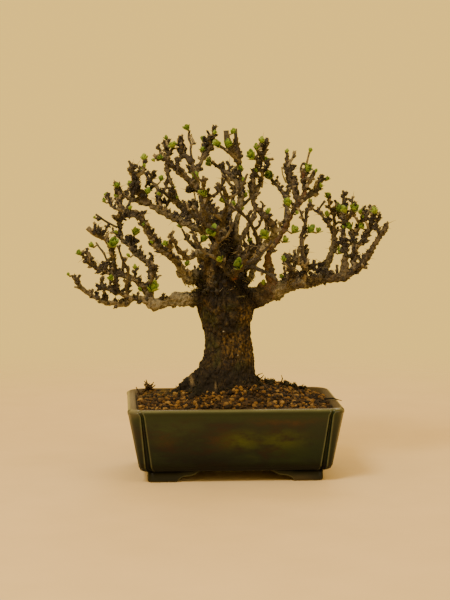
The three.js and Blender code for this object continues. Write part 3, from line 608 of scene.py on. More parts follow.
def sighted(x, z, depth):
    """The point at a depth that is seen at x and z on the trunk's plane."""
    slide = (depth - EYE[1]) / -EYE[1]
    return np.array([EYE[0] + (x - EYE[0]) * slide, depth, EYE[2] + (z - EYE[2]) * slide])


def seen_at(point):
    """Where a point is seen, as x and z on the trunk's plane."""
    slide = (point[1] - EYE[1]) / -EYE[1]
    return EYE[0] + (point[0] - EYE[0]) / slide, EYE[2] + (point[2] - EYE[2]) / slide


def nearest_on(points, x, z):
    """The place on a course that is seen nearest to x and z, and its depth."""
    best = (math.inf, None, 0.0)
    for a, b in zip(points, points[1:]):
        ax, az = seen_at(a)
        bx, bz = seen_at(b)
        run = max((bx - ax) ** 2 + (bz - az) ** 2, 1e-6)
        t = min(max(((x - ax) * (bx - ax) + (z - az) * (bz - az)) / run, 0), 1)
        spot = (mix(ax, bx, t), mix(az, bz, t))
        away = math.hypot(x - spot[0], z - spot[1])
        if away < best[0]:
            best = (away, spot, mix(a[1], b[1], t))
    return best[1], best[2]


def crook(points, draw):
    """The course with small kinks between its points."""
    bent = [points[0]]
    for a, b in zip(points, points[1:]):
        pieces = int(math.floor(np.linalg.norm(b - a) / CROOK_LENGTH + 0.5))
        for k in range(1, pieces):
            spot = a + (b - a) * (k / pieces)
            kick = np.array([draw() - 0.5, (draw() - 0.5) * 0.5, draw() - 0.5])
            bent.append(spot + kick * CROOK_LENGTH * 0.42)
        bent.append(b)
    return bent


def grow_limbs():
    """Each limb's points and radii, by its name."""
    grown = {}
    draw = seeded(5150)
    for name, parent, root_radius, tip_radius, reach, *course in LIMBS:
        course = [(x + CROWN_SHIFT, z) for x, z in course]
        start = 0.0
        if parent in grown:
            course[0], start = nearest_on(grown[parent][0], *course[0])
        end = reach * dome_depth(*course[-1])
        lengths = [0.0]
        for (ax, az), (bx, bz) in zip(course, course[1:]):
            lengths.append(lengths[-1] + math.hypot(bx - ax, bz - az))
        depths = [mix(start, end, length / lengths[-1]) for length in lengths]
        points = [sighted(x, z, depth) for (x, z), depth in zip(course, depths)]
        crooked = crook(points, draw)
        last = len(crooked) - 1
        radii = [mix(root_radius, tip_radius, i / last) for i in range(last + 1)]
        grown[name] = (crooked, radii)
    return grown


def grow_branches():
    """Side branches of the limbs that reach to the front and the back, and the limb that carries each."""
    draw = seeded(31)
    branches, parents = [], []
    for name, (points, radii) in limbs.items():
        if not name.startswith(("front", "back")):
            continue
        ahead = BRANCH_STEP
        travelled = 0.0
        side = 1
        for i in range(1, len(points)):
            span = np.linalg.norm(points[i] - points[i - 1])
            along = unit(points[i] - points[i - 1])
            while ahead < travelled + span:
                t = (ahead - travelled) / span
                root = mix(points[i - 1], points[i], t)
                wide = unit(np.cross(along, UP)) * side
                way = unit(along * 0.8 + wide * 0.9 + UP * 0.3 * draw())
                length = BRANCH_LENGTH * (0.7 + 0.5 * draw())
                knee = root + way * length * 0.45
                way = unit(way + UP * 0.75 + along * 0.35 * draw())
                tip = knee + way * length * 0.55
                thick = min(mix(radii[i - 1], radii[i], t) * 0.75, 2)
                branches.append(([root, knee, tip], [thick, thick * 0.8, 0.9]))
                parents.append(name)
                side = -side
                ahead += BRANCH_STEP * (0.7 + 0.5 * draw())
            travelled += span
    return branches, parents


limbs = grow_limbs()
branches, branch_parents = grow_branches()

# Fine shoots, spurs, spines and buds

HEART = np.array([CROWN_MIDDLE, 0.0, CROWN_BASE - 15])


def dome_share(point):
    """Below 1 inside the crown's dome and above 1 outside it."""
    u = (point[0] - CROWN_MIDDLE) / (CROWN_HALF_WIDTH + 3)
    v = point[1] / (CROWN_HALF_DEPTH + 3)
    w = (point[2] - CROWN_BASE) / (CROWN_HEIGHT + 2)
    if w < 0:
        w *= 2.2
    return math.sqrt(u * u + v * v + w * w)


def around(way, turn):
    """A direction square to the way, turned round it."""
    first = unit(np.cross(way, [0.35, 0.9, 0.2]))
    second = np.cross(way, first)
    return first * math.cos(turn) + second * math.sin(turn)


# Shoots: points and sides of each, and the spacing along the wood where their thickness is 1
SHOOT_POINTS = 7
SHOOT_SIDES = 5
SHOOT_SPACING = 4.2
SHOOT_SPREAD = 4.4

# How thickly each limb carries shoots and spurs from its root to its tip; limbs left out have 1
FULLNESS = {
    "low_right": (0.2, 0.4, 1.2, 3.0, 3.4),
    "low_right_end": (3.2, 3.0, 2.2, 1.3, 1.0, 1.3),
    "low_right_arch": (2.0,),
    "low_left": (0.3, 0.5),
    "low_left_tip": (1.4, 1.0, 0.5, 0.3),
    "low_left_riser": (1.0, 1.5, 1.7),
    "low_left_spray": (1.6,),
    "low_left_fork": (1.7,),
    "low_left_tuft": (1.5,),
    "low_left_rod": (0.3,),
    "low_left_thin": (0.2,),
    "mid_left": (0.6, 1.2, 1.6, 1.8),
    "mid_left_arch": (0.8, 0.5, 0.1),
    "mid_left_high": (1.7,),
    "up_left": (1.2, 1.3, 1.7, 2.0, 1.8),
    "up_left_clump": (2.0,),
    "up_left_pale": (1.2, 0.5),
    "high_left": (1.4, 1.5, 1.2),
    "crown_left": (1.3,),
    "crown_left_shoot": (0.3, 0.1, 0.1),
    "crown_left_clump": (1.6,),
    "leader": (0.05, 0.05, 0.1, 0.9, 0.5, 0.05),
    "leader_stub": (0.1, 0.02),
    "leader_bud": (0.6,),
    "crown_right": (0.1, 0.3, 1.4, 1.6),
    "pale_limb": (0.1, 0.1, 0.1),
    "pale_fork": (0.5, 0.8),
    "cross_limb": (0.15,),
    "side_spur": (0.2,),
    "riser": (0.3, 0.5, 1.0, 1.4),
    "riser_shoot": (0.15,),
    "riser_clump": (1.8,),
    "front_low": (0.9, 0.5),
    "front_cross": (0.3, 0.1),
    "front_mid": (0.6, 0.4),
    "front_high": (0.6, 0.4),
    "front_left": (0.6, 0.6),
    "front_left_twig": (0.3,),
    "back_mid": (0.15, 0.3),
    "back_high": (0.15, 0.3, 0.8),
    "back_low_right": (0.6, 0.2, 0.1),
    "back_low_left": (0.6, 0.3),
    "right_limb": (0.5, 1.0, 1.8),
    "right_limb_thin": (1.4,),
    "right_rise": (0.8, 1.6, 1.4),
    "right_fan": (1.3, 1.8),
    "right_fork": (1.8,),
}


def along_limb(values, count):
    """A few values spread evenly over so many places."""
    return np.interp(np.linspace(0, 1, count), np.linspace(0, 1, len(values)), values)


def grow_shoots():
    """Stubby shoots along the limbs and branches, bending upwards and outwards, each with kinks."""
    draw = seeded(2468)
    courses, widths = [], []
    for (course, radii), full in zip(woods, fullness):
        steps = np.linalg.norm(np.diff(course, axis=0), axis=1)
        total = steps.sum()
        ahead = 5.0 + 3 * draw() + radii[0] * 1.5
        travelled = 0.0
        turn = draw() * ANY_TURN
        for i, step in enumerate(steps):
            travelled += step
            if travelled < ahead or total - travelled < 2.0:
                continue
            ahead = travelled + (SHOOT_SPACING + SHOOT_SPREAD * draw()) / full[i]
            turn += GOLDEN_TURN
            way = unit(course[i + 1] - course[i])
            outward = unit(course[i] - HEART)
            heading = unit(around(way, turn) + way * 0.45 + outward * 0.55 + UP * 0.6)
            length = 4 + 10 * draw() ** 1.5
            thick = min(radii[i] * 0.8, 1.35)
            points = [course[i]]
            for _ in range(SHOOT_POINTS - 1):
                kink = np.array([draw() - 0.5, draw() - 0.5, draw() - 0.35]) * 0.75
                heading = unit(heading + kink + UP * 0.12)
                points.append(points[-1] + heading * length / (SHOOT_POINTS - 1))
            if dome_share(points[-1]) > 0.99:
                points = [points[0] + (p - points[0]) * 0.4 for p in points]
                if dome_share(points[-1]) > 1.0:
                    continue
            courses.append(points)
            widths.append(np.linspace(thick, 0.95, SHOOT_POINTS))
    return np.array(courses), np.array(widths)


# Short spurs: how many the trunk carries and between which heights, and their spacing on other wood
TRUNK_SPURS = 250
TRUNK_SPUR_HEIGHTS = (143, 206)
LIMB_SPUR_SPACING = 2.5
SHOOT_SPUR_SPACING = 2.1
CLUMP_SPUR_SPACING = 1.7
PALEST_SPUR = 0.9


def trunk_spurs(draw):
    """Spurs on the trunk itself, except where it is rubbed bare."""
    places = []
    levels, middles, reaches = zip(*TRUNK)
    for _ in range(TRUNK_SPURS):
        z = mix(*TRUNK_SPUR_HEIGHTS, draw())
        turn = 2 * math.pi * draw()
        x = np.interp(z, levels, middles)
        radius = np.interp(z, levels, reaches)
        side = np.array([math.cos(turn), math.sin(turn) * TRUNK_FLATNESS, 0])
        rubbed_bare = side[0] < -0.35 and side[1] < 0.3 and 152 < z < 176
        if rubbed_bare:
            continue
        heading = unit(side + UP * (0.5 + 0.5 * draw()))
        place = np.array([x + TRUNK_SHIFT, 0, z]) + side * radius
        places.append((place, heading, 0.9 + 0.9 * draw(), -0.5 * draw()))
    return places


def spurs_along(course, radii, full, spacing, palest, draw):
    """Spurs along one course: they come in clumps, and thick wood carries fewer."""
    places = []
    travelled = 0.0
    ahead = spacing * (0.5 + draw())
    turn = draw() * ANY_TURN
    for i in range(len(course) - 1):
        a, b = np.asarray(course[i]), np.asarray(course[i + 1])
        span = np.linalg.norm(b - a)
        way = unit(b - a)
        while ahead < travelled + span:
            t = (ahead - travelled) / span
            spot = mix(a, b, t)
            crowding = noise.noise(Vector(spot) * 0.1)
            ahead += spacing * (0.6 + 0.6 * draw()) * (1.25 - crowding) / full[i]
            turn += GOLDEN_TURN
            radius = mix(radii[i], radii[i + 1], t)
            bareness = 0.7 if radius > 3.4 else 0.25 if radius > 2.2 else 0.0
            if draw() * full[i] < bareness:
                continue
            heading = unit(around(way, turn) + way * 0.5 + UP * 0.4)
            size = (0.8 + 0.6 * draw()) * (1.08 + 0.45 * crowding)
            pale = palest * draw() ** 1.6 * (0.9 - crowding) if palest else -0.45 * draw()
            places.append((spot + heading * radius * 0.5, heading, size, pale))
        travelled += span
    return places


def grow_spurs():
    """Each short spur's place on the wood, heading, size and paleness."""
    draw = seeded(97531)
    even = np.ones(SHOOT_POINTS)
    runs = [(*wood, full, LIMB_SPUR_SPACING, PALEST_SPUR) for wood, full in zip(woods, fullness)]
    runs += [(*shoot, even, SHOOT_SPUR_SPACING, PALEST_SPUR) for shoot in zip(shoots, shoot_widths)]
    runs += [(*clump, even, CLUMP_SPUR_SPACING, 0.0) for clump in zip(clumps, clump_widths)]
    places = trunk_spurs(draw)
    for run in runs:
        places += spurs_along(*run, draw)
    return [place for place in places if not hides_bud(place[0])]


FINE_STEP = 2.6
fine_limbs = [smoothed(points, radii, FINE_STEP) for points, radii in limbs.values()]
fine_branches = [smoothed(points, radii, FINE_STEP) for points, radii in branches]
woods = fine_limbs + fine_branches
wood_names = [name for name, *_ in LIMBS] + branch_parents
fullness = [
    along_limb(FULLNESS.get(name, (1.0,)), len(course))
    for name, (course, _) in zip(wood_names, woods)
]

# Bare rods with cut ends, from the nearest limb: radius, paleness and course as seen
RODS = (
    (0.9, 0.5, (-97.5, 136.1), (-107.8, 137.9), (-116.3, 142.2), (-123.1, 147.1), (-127.3, 148.3)),
    (2.1, 0.3, (-4, 254), (-6.5, 262), (-7.2, 271)),
    (1.4, 0.1, (2.6, 252), (0.8, 262), (0, 272.5)),
    (1.3, 0.1, (43, 236), (41.6, 245), (41, 253.5)),
    (0.7, 0.1, (41.6, 243.5), (45, 243.6), (47, 243.8)),
    (0.8, 0.5, (55, 239), (57, 247), (58.6, 254)),
    (0.8, 0.4, (54.5, 223), (58, 231), (61.5, 238)),
    (0.5, 0.6, (40, 230), (37.7, 236), (36.7, 242.5)),
    (0.8, 0.1, (85.5, 211), (85.7, 220.5)),
    (0.8, 0.5, (99.5, 199), (104.5, 205), (108.5, 210)),
    (0.7, 0.8, (111, 196.5), (113.7, 202), (115.2, 207)),
    (1.2, 0.7, (-53.5, 250), (-53, 256.5), (-53.9, 263.5)),
    (1.0, 0.3, (-26, 228), (-25.1, 235.5)),
    (0.6, 0.7, (-31, 215), (-32.8, 224)),
    (0.6, 0.3, (-98.4, 213.5), (-99.2, 217), (-101, 223)),
    (0.9, 0.2, (-93, 195), (-102, 199.8), (-110, 205.5)),
    (2.0, 0.6, (-102, 186), (-111, 190), (-116.5, 195)),
    (1.3, 0.1, (-10.5, 223.5), (-14.8, 230)),
    (1.2, 0.2, (23.6, 256), (25, 265.5)),
    (0.8, 0.7, (21, 226), (21.6, 233.7), (21.2, 238.5)),
)


def grow_rods():
    """Each rod leaves the limb that is seen nearest to its root, and keeps that limb's depth."""
    rods = []
    for radius, _, *course in RODS:
        course = [(x + CROWN_SHIFT, z) for x, z in course]
        spots = [nearest_on(points, *course[0]) for points, _ in limbs.values()]
        _, depth = min(spots, key=lambda spot: math.dist(spot[0], course[0]))
        points = [sighted(x, z, depth) for x, z in course]
        rods.append(smoothed(points, [radius] * len(points), 2.0))
    return rods


rods = grow_rods()

# Dense dark clumps of shoots: middle and reach along x and z as seen, and how many shoots
CLUMPS = (
    (52, 159, 8, 5, 8),
    (66, 161, 7, 6, 9),
    (82, 210, 5, 5, 6),
    (91, 209, 6, 5, 7),
    (83, 184, 5, 9, 8),
    (93, 178, 4, 13, 9),
    (107, 203, 7, 6, 6),
    (-106, 196, 4, 7, 7),
    (-99, 188, 5, 7, 5),
    (-74, 224, 8, 6, 10),
    (-80, 240, 4, 7, 6),
    (-99, 144, 10, 5, 10),
    (-87, 205, 4, 9, 6),
    (-66, 187, 6, 6, 6),
    (-43, 257, 4, 6, 6),
    (-21, 262, 3, 6, 5),
    (22, 248, 5, 9, 8),
    (47, 234, 4, 9, 7),
    (2, 232, 5, 11, 7),
    (27, 197, 5, 7, 6),
    (-55, 213, 6, 6, 5),
    (-85, 185, 6, 5, 4),
    (-36, 220, 8, 8, 5),
)


def front_limb(spot, reach):
    """The limb or rod that passes within reach of a spot as seen and lies foremost, or else the nearest."""
    found = [nearest_on(points, *spot) for points, _ in [*limbs.values(), *rods]]
    close = [one for one in found if math.dist(one[0], spot) < reach]
    if close:
        return min(close, key=lambda one: one[1])
    return min(found, key=lambda one: math.dist(one[0], spot))


CLUMP_KINK = 1.3


def grow_clumps():
    """Shoots from the foremost limb to places spread over each clump, with the widths of each."""
    draw = seeded(8181)
    courses, widths = [], []
    for x, z, wide, high, count in CLUMPS:
        for _ in range(count):
            turn = draw() * ANY_TURN
            far = math.sqrt(draw())
            end = (x + CROWN_SHIFT + wide * far * math.cos(turn), z + high * far * math.sin(turn))
            foot, depth = front_limb(end, 1.0)
            start = sighted(*foot, depth)
            tip = sighted(*end, depth + (draw() - 0.5) * wide * 1.6)
            points = [mix(start, tip, k / (SHOOT_POINTS - 1)) for k in range(SHOOT_POINTS)]
            for k in range(1, SHOOT_POINTS):
                points[k] = points[k] + np.array([draw() - 0.5, draw() - 0.5, draw() - 0.5]) * CLUMP_KINK
            courses.append(points)
            widths.append(np.linspace(1.25, 0.95, SHOOT_POINTS))
    return np.array(courses), np.array(widths)


# The opening buds that are seen from the front: place along x and z as seen, and size
BUDS = (
    (-37, 274, 0.9), (-17, 270, 0.7), (-13, 262, 1.3), (-7, 261, 1.2), (-3, 271, 0.8), (20, 264, 0.9),
    (17, 259, 0.9), (15, 253, 1.5), (4, 242, 0.8), (6, 233, 0.7), (16, 240, 0.6), (23, 250, 0.7),
    (28, 237, 1.4), (59, 256, 0.7), (56, 242, 1.1), (72, 234, 0.7), (67, 228, 0.7), (81, 210, 1.0),
    (88, 209, 1.1), (94, 211, 1.2), (100, 207, 0.7), (112, 208, 1.0), (102, 196, 0.9), (92, 196, 1.1),
    (82, 177, 1.1), (45, 194, 1.3), (58, 194, 1.2), (65, 193, 0.8), (43, 215, 1.3), (48, 207, 0.6),
    (26, 190, 1.5), (38, 186, 1.0), (25, 207, 0.6), (39, 170, 0.8), (4, 167, 1.5), (-16, 193, 1.6),
    (-8, 218, 1.2), (-27, 187, 1.2), (-20, 246, 0.8), (-32, 236, 1.0), (-25, 223, 1.2), (-24, 217, 0.6),
    (-48, 260, 0.9), (-59, 251, 0.8), (-64, 249, 0.6), (-72, 244, 0.6), (-93, 229, 0.8), (-102, 217, 0.7),
    (-83, 211, 0.7), (-70, 224, 0.9), (-59, 234, 0.8), (-59, 222, 0.6), (-110, 204, 0.5), (-99, 184, 1.5),
    (-112, 182, 0.8), (-93, 192, 0.6), (-122, 176, 0.8), (-131, 159, 0.6), (-97, 156, 0.9), (-68, 149, 1.7),
    (-74, 147, 0.7), (-83, 174, 0.7), (-80, 192, 1.2), (-65, 184, 0.6), (-54, 183, 0.9), (-46, 219, 0.5),
    (-39, 167, 0.8), (-72, 198, 0.6),
)

# For each unit of its size, a seen bud rises this far above its stalk and is kept clear this far round it
SEEN_BUD_RISE = 2.9
SEEN_BUD_REACH = 3.8


def grow_seen_buds():
    """A stalk and a size for each bud seen: the stalk leaves the foremost limb near the bud."""
    grown = []
    for x, z, size in BUDS:
        end = (x + CROWN_SHIFT, z - size * SEEN_BUD_RISE - 0.7)
        foot, depth = front_limb((end[0], z - 3.0), 6.0)
        start = sighted(*foot, depth)
        tip = sighted(*end, depth - 2.0)
        grown.append(([start, mix(start, tip, 0.55) - [0, 0.6, 0], tip], size))
    return grown


def hides_bud(point):
    """True for a place in front of a bud that is seen."""
    x, z = seen_at(point)
    away = np.hypot(bud_views[:, 0] - x, bud_views[:, 1] - z)
    return np.any((away < bud_views[:, 3]) & (point[1] < bud_views[:, 2]))


def clear_of_buds(courses, widths):
    """The shoots that hide no bud which is seen, and their widths."""
    clear = [not (hides_bud(course[-1]) or hides_bud(course[SHOOT_POINTS // 2])) for course in courses]
    return courses[clear], widths[clear]


seen_buds = grow_seen_buds()

# Where each bud is seen, its depth and how far round it is kept clear
bud_views = np.array([
    (x + CROWN_SHIFT, z, stalk[-1][1] + 1, size * SEEN_BUD_REACH)
    for (stalk, size), (x, z, _) in zip(seen_buds, BUDS)
])

shoots, shoot_widths = clear_of_buds(*grow_shoots())
clumps, clump_widths = clear_of_buds(*grow_clumps())
spurs = grow_spurs()

# Soft patches of colour


def stain(finish, middle, reach, core=0.1):
    """1 in the core of a long soft patch and 0 beyond its reach along x, y and z."""
    centre = tuple(float(v) for v in (np.array(middle) + POT_CENTRE / MM))
    shrink = tuple(1.0 / r for r in reach)
    offset = finish.vectors("MULTIPLY", finish.vectors("SUBTRACT", finish.place, centre), shrink)
    return 1 - finish.vectors("LENGTH", offset, output="Value").step(core, 1.0)


def stains(finish, *patches):
    """Some soft patches at once, each a middle and a reach."""
    return any_of(*(stain(finish, middle, reach) for middle, reach in patches))


def near(finish, x, y, z, radius):
    """1 close round a place on the tree and 0 beyond the radius."""
    return stain(finish, (x, y, z), (radius,) * 3, 0.45)


# Bark finishes: colours

DARK_BARK = (0.007, 0.0055, 0.0055)
BROWN_BARK = (0.03, 0.02, 0.012)
OCHRE_BARK = (0.12, 0.074, 0.02)
OLIVE_BARK = (0.036, 0.037, 0.012)
PALE_BARK = (0.22, 0.19, 0.118)
RUDDY_BARK = (0.085, 0.03, 0.012)
DRY_BARK = (0.2, 0.16, 0.09)
EARTHY_BARK = (0.058, 0.044, 0.014)
BLACK_BARK = (0.007, 0.0055, 0.0075)
# Nearly black, mixed into the crevices between the bark's plates as painted shade
CREVICE_SHADE = (0.003, 0.002, 0.002)
# Painted shade in the furrows of the trunk's skin
FURROW_SHADE = (0.004, 0.003, 0.002)
RUBBED_BARK = (0.15, 0.105, 0.045)
SCARRED_BARK = (0.15, 0.03, 0.014)
SOOTY_BARK = (0.022, 0.012, 0.007)
BARE_ROOT = (0.2, 0.15, 0.08)
GREY_LICHEN = (0.19, 0.18, 0.11)
CHIPPED_BARK = (0.34, 0.32, 0.26)
LICHEN_SPECK = (0.3, 0.29, 0.24)
# A painted highlight on the palest limb
PALE_LIMB_HIGHLIGHT = (0.38, 0.33, 0.2)
DAMP_LIMB = (0.05, 0.045, 0.015)
DARK_LIMB_SHADES = [(0.3, (0.013, 0.0105, 0.0095)), (0.5, (0.052, 0.04, 0.025)), (0.75, (0.14, 0.105, 0.06))]
PALE_LIMB_SHADES = [
    (0.3, BROWN_BARK),
    (0.44, (0.1, 0.082, 0.047)),
    (0.58, PALE_BARK),
    (0.78, (0.34, 0.305, 0.21)),
]
DARK_TWIG_SHADES = [(0.3, (0.011, 0.008, 0.007)), (0.55, (0.038, 0.031, 0.024)), (0.75, (0.1, 0.077, 0.045))]
PALE_TWIG_SHADES = [(0.3, (0.075, 0.057, 0.032)), (0.5, (0.19, 0.153, 0.09)), (0.75, (0.32, 0.278, 0.18))]
BLACK_TWIG = (0.009, 0.0065, 0.0075)

# Places on the bark: middle and radius
OCHRE_PLACES = ((-1, -19, 103, 15), (11, -16, 127, 11), (14, -10, 97, 14), (-22, -12, 137, 7))
OLIVE_PLACE = (-21, -14, 124, 12)
# A patch of painted shade on the front of the trunk
SHADE_PLACE = (-5, -20, 118, 11)

# Patches on the bark: middle and reach
RUBBED_PATCHES = (((-19, -12, 158), (6, 20, 14)), ((-3, -20, 166), (4, 14, 8)))
SCAR_PATCH = ((2.5, -18, 156), (5.5, 22, 3.6))
SOOTY_PATCH = ((27.5, -10, 142), (7, 22, 6.5))
LICHEN_PATCH = ((7.6, -16, 141.3), (7.5, 14, 0.9))
BARE_ROOT_PATCHES = (((-32.5, -10, 74), (3.2, 26, 6)), ((-14.6, -28, 72), (1.8, 12, 5)))
CHIP_REACH = (1.0, 9, 0.8)
CHIP_PATCHES = tuple((middle, CHIP_REACH) for middle in ((1, -16, 149), (-8, -19, 114), (-13, -19, 111)))

# The trunk's fork, with the painted shade that gathers round it, and the height that the painted shade at the
# trunk's foot ends at
FORK_HEIGHT = 149
FOOT_SHADE = (78, 92)


def make_bark():
    bark = Finish("bark", Roughness=0.85, Specular_IOR_Level=0.2)
    height = bark.height()
    fine = bark.noise(2.2, 5.0, 0.65)
    speckle = bark.noise(0.9, 3.0, 0.7)
    patches = bark.noise(9.0, 4.0, 0.6, distortion=0.4)
    blots = bark.noise(4.5, 4.0, 0.65, distortion=0.9)
    streaks = bark.noise(1.0, 4.0, 0.6, bark.stretched(0.22, 0.22, 0.06))
    plate_place = bark.warped(bark.stretched(0.22, 0.22, 0.13), 7.0, 0.9)
    crevices = 1 - bark.cells(1.0, "DISTANCE_TO_EDGE", place=plate_place).step(0.02, 0.16)

    mottle = streaks * 0.16 + fine * 0.42 + speckle * 0.42
    base = bark.ramp(mottle, [(0.4, DARK_BARK), (0.52, BROWN_BARK), (0.66, OCHRE_BARK)])
    base = bark.mixed(base, DRY_BARK, speckle.step(0.6, 0.72) * patches.step(0.4, 0.6) * 0.6)
    base = bark.mixed(base, EARTHY_BARK, blots.step(0.52, 0.6) * 0.6)
    base = bark.mixed(base, BLACK_BARK, (1 - blots.step(0.4, 0.47)) * 0.75)
    ochre_drift = bark.noise(16.0, 3.0, 0.6, bark.stretched(1, 1, 0.5)).step(0.6, 0.74) * 0.5
    ochre = any_of(*(near(bark, *place) for place in OCHRE_PLACES), ochre_drift)
    base = bark.mixed(base, OCHRE_BARK, ochre * fine.step(0.4, 0.6) * 0.9)
    olive = near(bark, *OLIVE_PLACE) + bark.noise(17.0, 3.0, 0.55).step(0.48, 0.64)
    base = bark.mixed(base, OLIVE_BARK, (olive * patches.step(0.42, 0.58) * (1 - ochre)).capped(0.8))
    # Painted shade round the fork, at the trunk's foot and on a patch of the front
    fork = (1 - (height - FORK_HEIGHT).math("ABSOLUTE").step(5, 18)) * patches.step(0.34, 0.48)
    foot = (1 - height.step(*FOOT_SHADE)) * patches.step(0.3, 0.5)
    shade = any_of(fork, foot, near(bark, *SHADE_PLACE) * patches.step(0.36, 0.5))
    base = bark.mixed(base, DARK_BARK, shade * 0.8)
    # Painted shade in the crevices between the plates
    base = bark.mixed(base, CREVICE_SHADE, crevices * 0.5)
    base = bark.mixed(base, RUBBED_BARK, stains(bark, *RUBBED_PATCHES) * fine.step(0.35, 0.55) * 0.85)

    pale = bark.ramp(fine * 0.6 + speckle * 0.4, PALE_LIMB_SHADES)
    pale = bark.mixed(pale, DAMP_LIMB, patches.step(0.5, 0.62) * 0.6)
    paleness = (bark.kept("pale") + (patches - 0.5) * 0.9).step(0.2, 0.8)
    limb = bark.mixed(bark.ramp(fine, DARK_LIMB_SHADES), pale, paleness)
    # Painted highlight on the palest limb, over its own pale bark
    limb = bark.mixed(limb, PALE_LIMB_HIGHLIGHT, bark.kept("pale").step(1.0, 1.8) * fine.step(0.3, 0.55))
    limb = bark.mixed(limb, RUDDY_BARK, bark.kept("ruddy") * fine.step(0.35, 0.6) * 0.75)

    color = bark.mixed(base, limb, bark.kept("limb"))
    color = bark.mixed(color, SCARRED_BARK, stain(bark, *SCAR_PATCH) * fine.step(0.36, 0.5) * 0.85)
    color = bark.mixed(color, SOOTY_BARK, stain(bark, *SOOTY_PATCH) * patches.step(0.35, 0.5) * 0.8)
    color = bark.mixed(color, GREY_LICHEN, stain(bark, *LICHEN_PATCH) * fine.step(0.4, 0.5) * 0.7)
    # Painted shade along the bottoms of the trunk's furrows
    color = bark.mixed(color, FURROW_SHADE, bark.kept("hollow") * 0.5)
    color = bark.mixed(color, BARE_ROOT, stains(bark, *BARE_ROOT_PATCHES) * fine.step(0.35, 0.5) * 0.8)
    color = bark.mixed(color, CHIPPED_BARK, stains(bark, *CHIP_PATCHES) * 0.8)
    specks = bark.cells(5.5).step(0.0, 0.13) + bark.noise(23.0).step(0.42, 0.5)
    color = bark.mixed(LICHEN_SPECK, color, specks.capped(1.0))
    bark.set(Base_Color=color, Roughness=0.74 + fine * 0.24)
    bark.bumps(fine * 0.45 + streaks * 0.35 - crevices * 0.4, 0.9)
    return bark


def make_twig_bark():
    twig = Finish("twig bark", Roughness=0.7, Specular_IOR_Level=0.25)
    tone = twig.kept("tone")
    fine = twig.noise(1.1, 4.0, 0.65)
    patches = twig.noise(11.0, 2.0, 0.5)
    paleness = (tone + patches * 1.1 - 0.55).step(0.25, 0.8)
    color = twig.mixed(twig.ramp(fine, DARK_TWIG_SHADES), twig.ramp(fine, PALE_TWIG_SHADES), paleness)
    color = twig.mixed(color, BLACK_TWIG, (0.12 - tone).step(0.0, 0.4) * 0.75)
    color = twig.mixed(color, OLIVE_BARK, patches.step(0.52, 0.66) * fine.step(0.45, 0.6) * 0.6)
    twig.set(Base_Color=color, Roughness=0.6 + fine * 0.3)
    twig.bumps(fine, 0.35)
    return twig


bark = make_bark()
twig_bark = make_twig_bark()

# Trunk, roots and thick limbs, joined as one skin

TRUNK_STEP = 1.6
TRUNK_SIDES = 72


def trunk_course():
    """The trunk's middle line, as rows of its place along x, its radius and its height."""
    heights, middles, radii = np.array(TRUNK, dtype=float).T
    course, _ = smoothed(np.column_stack([middles + TRUNK_SHIFT, radii, heights]), radii, TRUNK_STEP)
    return course


def add_trunk(stock):
    """Rings round the trunk, fluted a little."""
    middles, radii, heights = trunk_course().T[:, :, None]
    turns = np.arange(TRUNK_SIDES) * 2 * math.pi / TRUNK_SIDES
    flute = 1 + 0.05 * np.cos(3 * turns + heights * 0.03) + 0.03 * np.cos(5 * turns + 1 + heights * 0.12)
    flute = flute + 0.022 * np.cos(9 * turns + heights * 0.05)
    reach = radii * flute
    across = np.sin(turns) * reach * TRUNK_FLATNESS
    levels = np.broadcast_to(heights, reach.shape)
    lofted(stock, np.stack([middles + np.cos(turns) * reach, across, levels], axis=2))


ROOT_MIDDLE = -8
ROOT_RADII = (5.5, 6.5, 6, 5, 3)


def add_roots(stock):
    """Surface roots that leave the trunk and dive into the soil."""
    for degrees, out, stoutness in ROOTS:
        turn = math.radians(degrees)
        course = [(10, 82), (19, 76), (out * 0.72, 70), (out, 62), (out + 5, 54)]
        points = [(ROOT_MIDDLE + math.cos(turn) * far, math.sin(turn) * far * 0.9, z) for far, z in course]
        radii = [radius * stoutness / 6 for radius in ROOT_RADII]
        fine, widths = smoothed(points, radii, 2.0)
        stock.add(*tubes([fine], [widths], 16))


def flared(course, radii, parent_radius):
    """Wider where the wood leaves what carries it."""
    steps = np.concatenate([[0], np.cumsum(np.linalg.norm(np.diff(course, axis=0), axis=1))])
    return radii * (1 + 0.45 * np.exp(-np.maximum(steps - parent_radius, 0) / (2.2 * radii[0])))


# Limbs at least this thick at the root are joined to the trunk's skin, which is made of cells this wide
THICK = 2.3
SKIN_CELL = 0.92

# How pale the bark is along each limb, and how ruddy; limbs left out have COMMON_PALENESS
COMMON_PALENESS = (0.45, 0.3)
PALENESS = {
    "low_left": (0.95, 1.0),
    "low_left_tip": (0.8, 0.4),
    "low_left_riser": (0.5, 0.3),
    "mid_left": (1.0, 0.6, 0.6, 0.3),
    "mid_left_arch": (1.0, 0.5, 0.1),
    "up_left": (0.7, 0.5, 0.4),
    "up_left_clump": (0.1, 0.1),
    "crown_left_clump": (0.1, 0.1),
    "leader": (1.0, 1.0, 0.5, 0.1, 0.0),
    "pale_limb": (1.6, 1.7, 1.2, 0.3, 0.1),
    "riser": (0.6, 0.35),
    "low_right": (0.0, 0.1, 0.75, 0.6, 0.15),
    "low_right_end": (0.1, 0.25, 0.2),
    "low_right_arch": (0.8, 0.5),
    "right_limb": (0.55, 0.4),
    "cross_limb": (0.2, 0.35),
    "side_spur": (0.7, 0.6),
    "front_low": (0.1, 0.2),
    "front_cross": (0.1, 0.2),
    "riser_stub": (0.2, 0.1),
    "riser_clump": (0.3, 0.1),
}
RUDDY = {"riser": 0.9, "pale_fork": 0.7, "right_rod": 0.4}


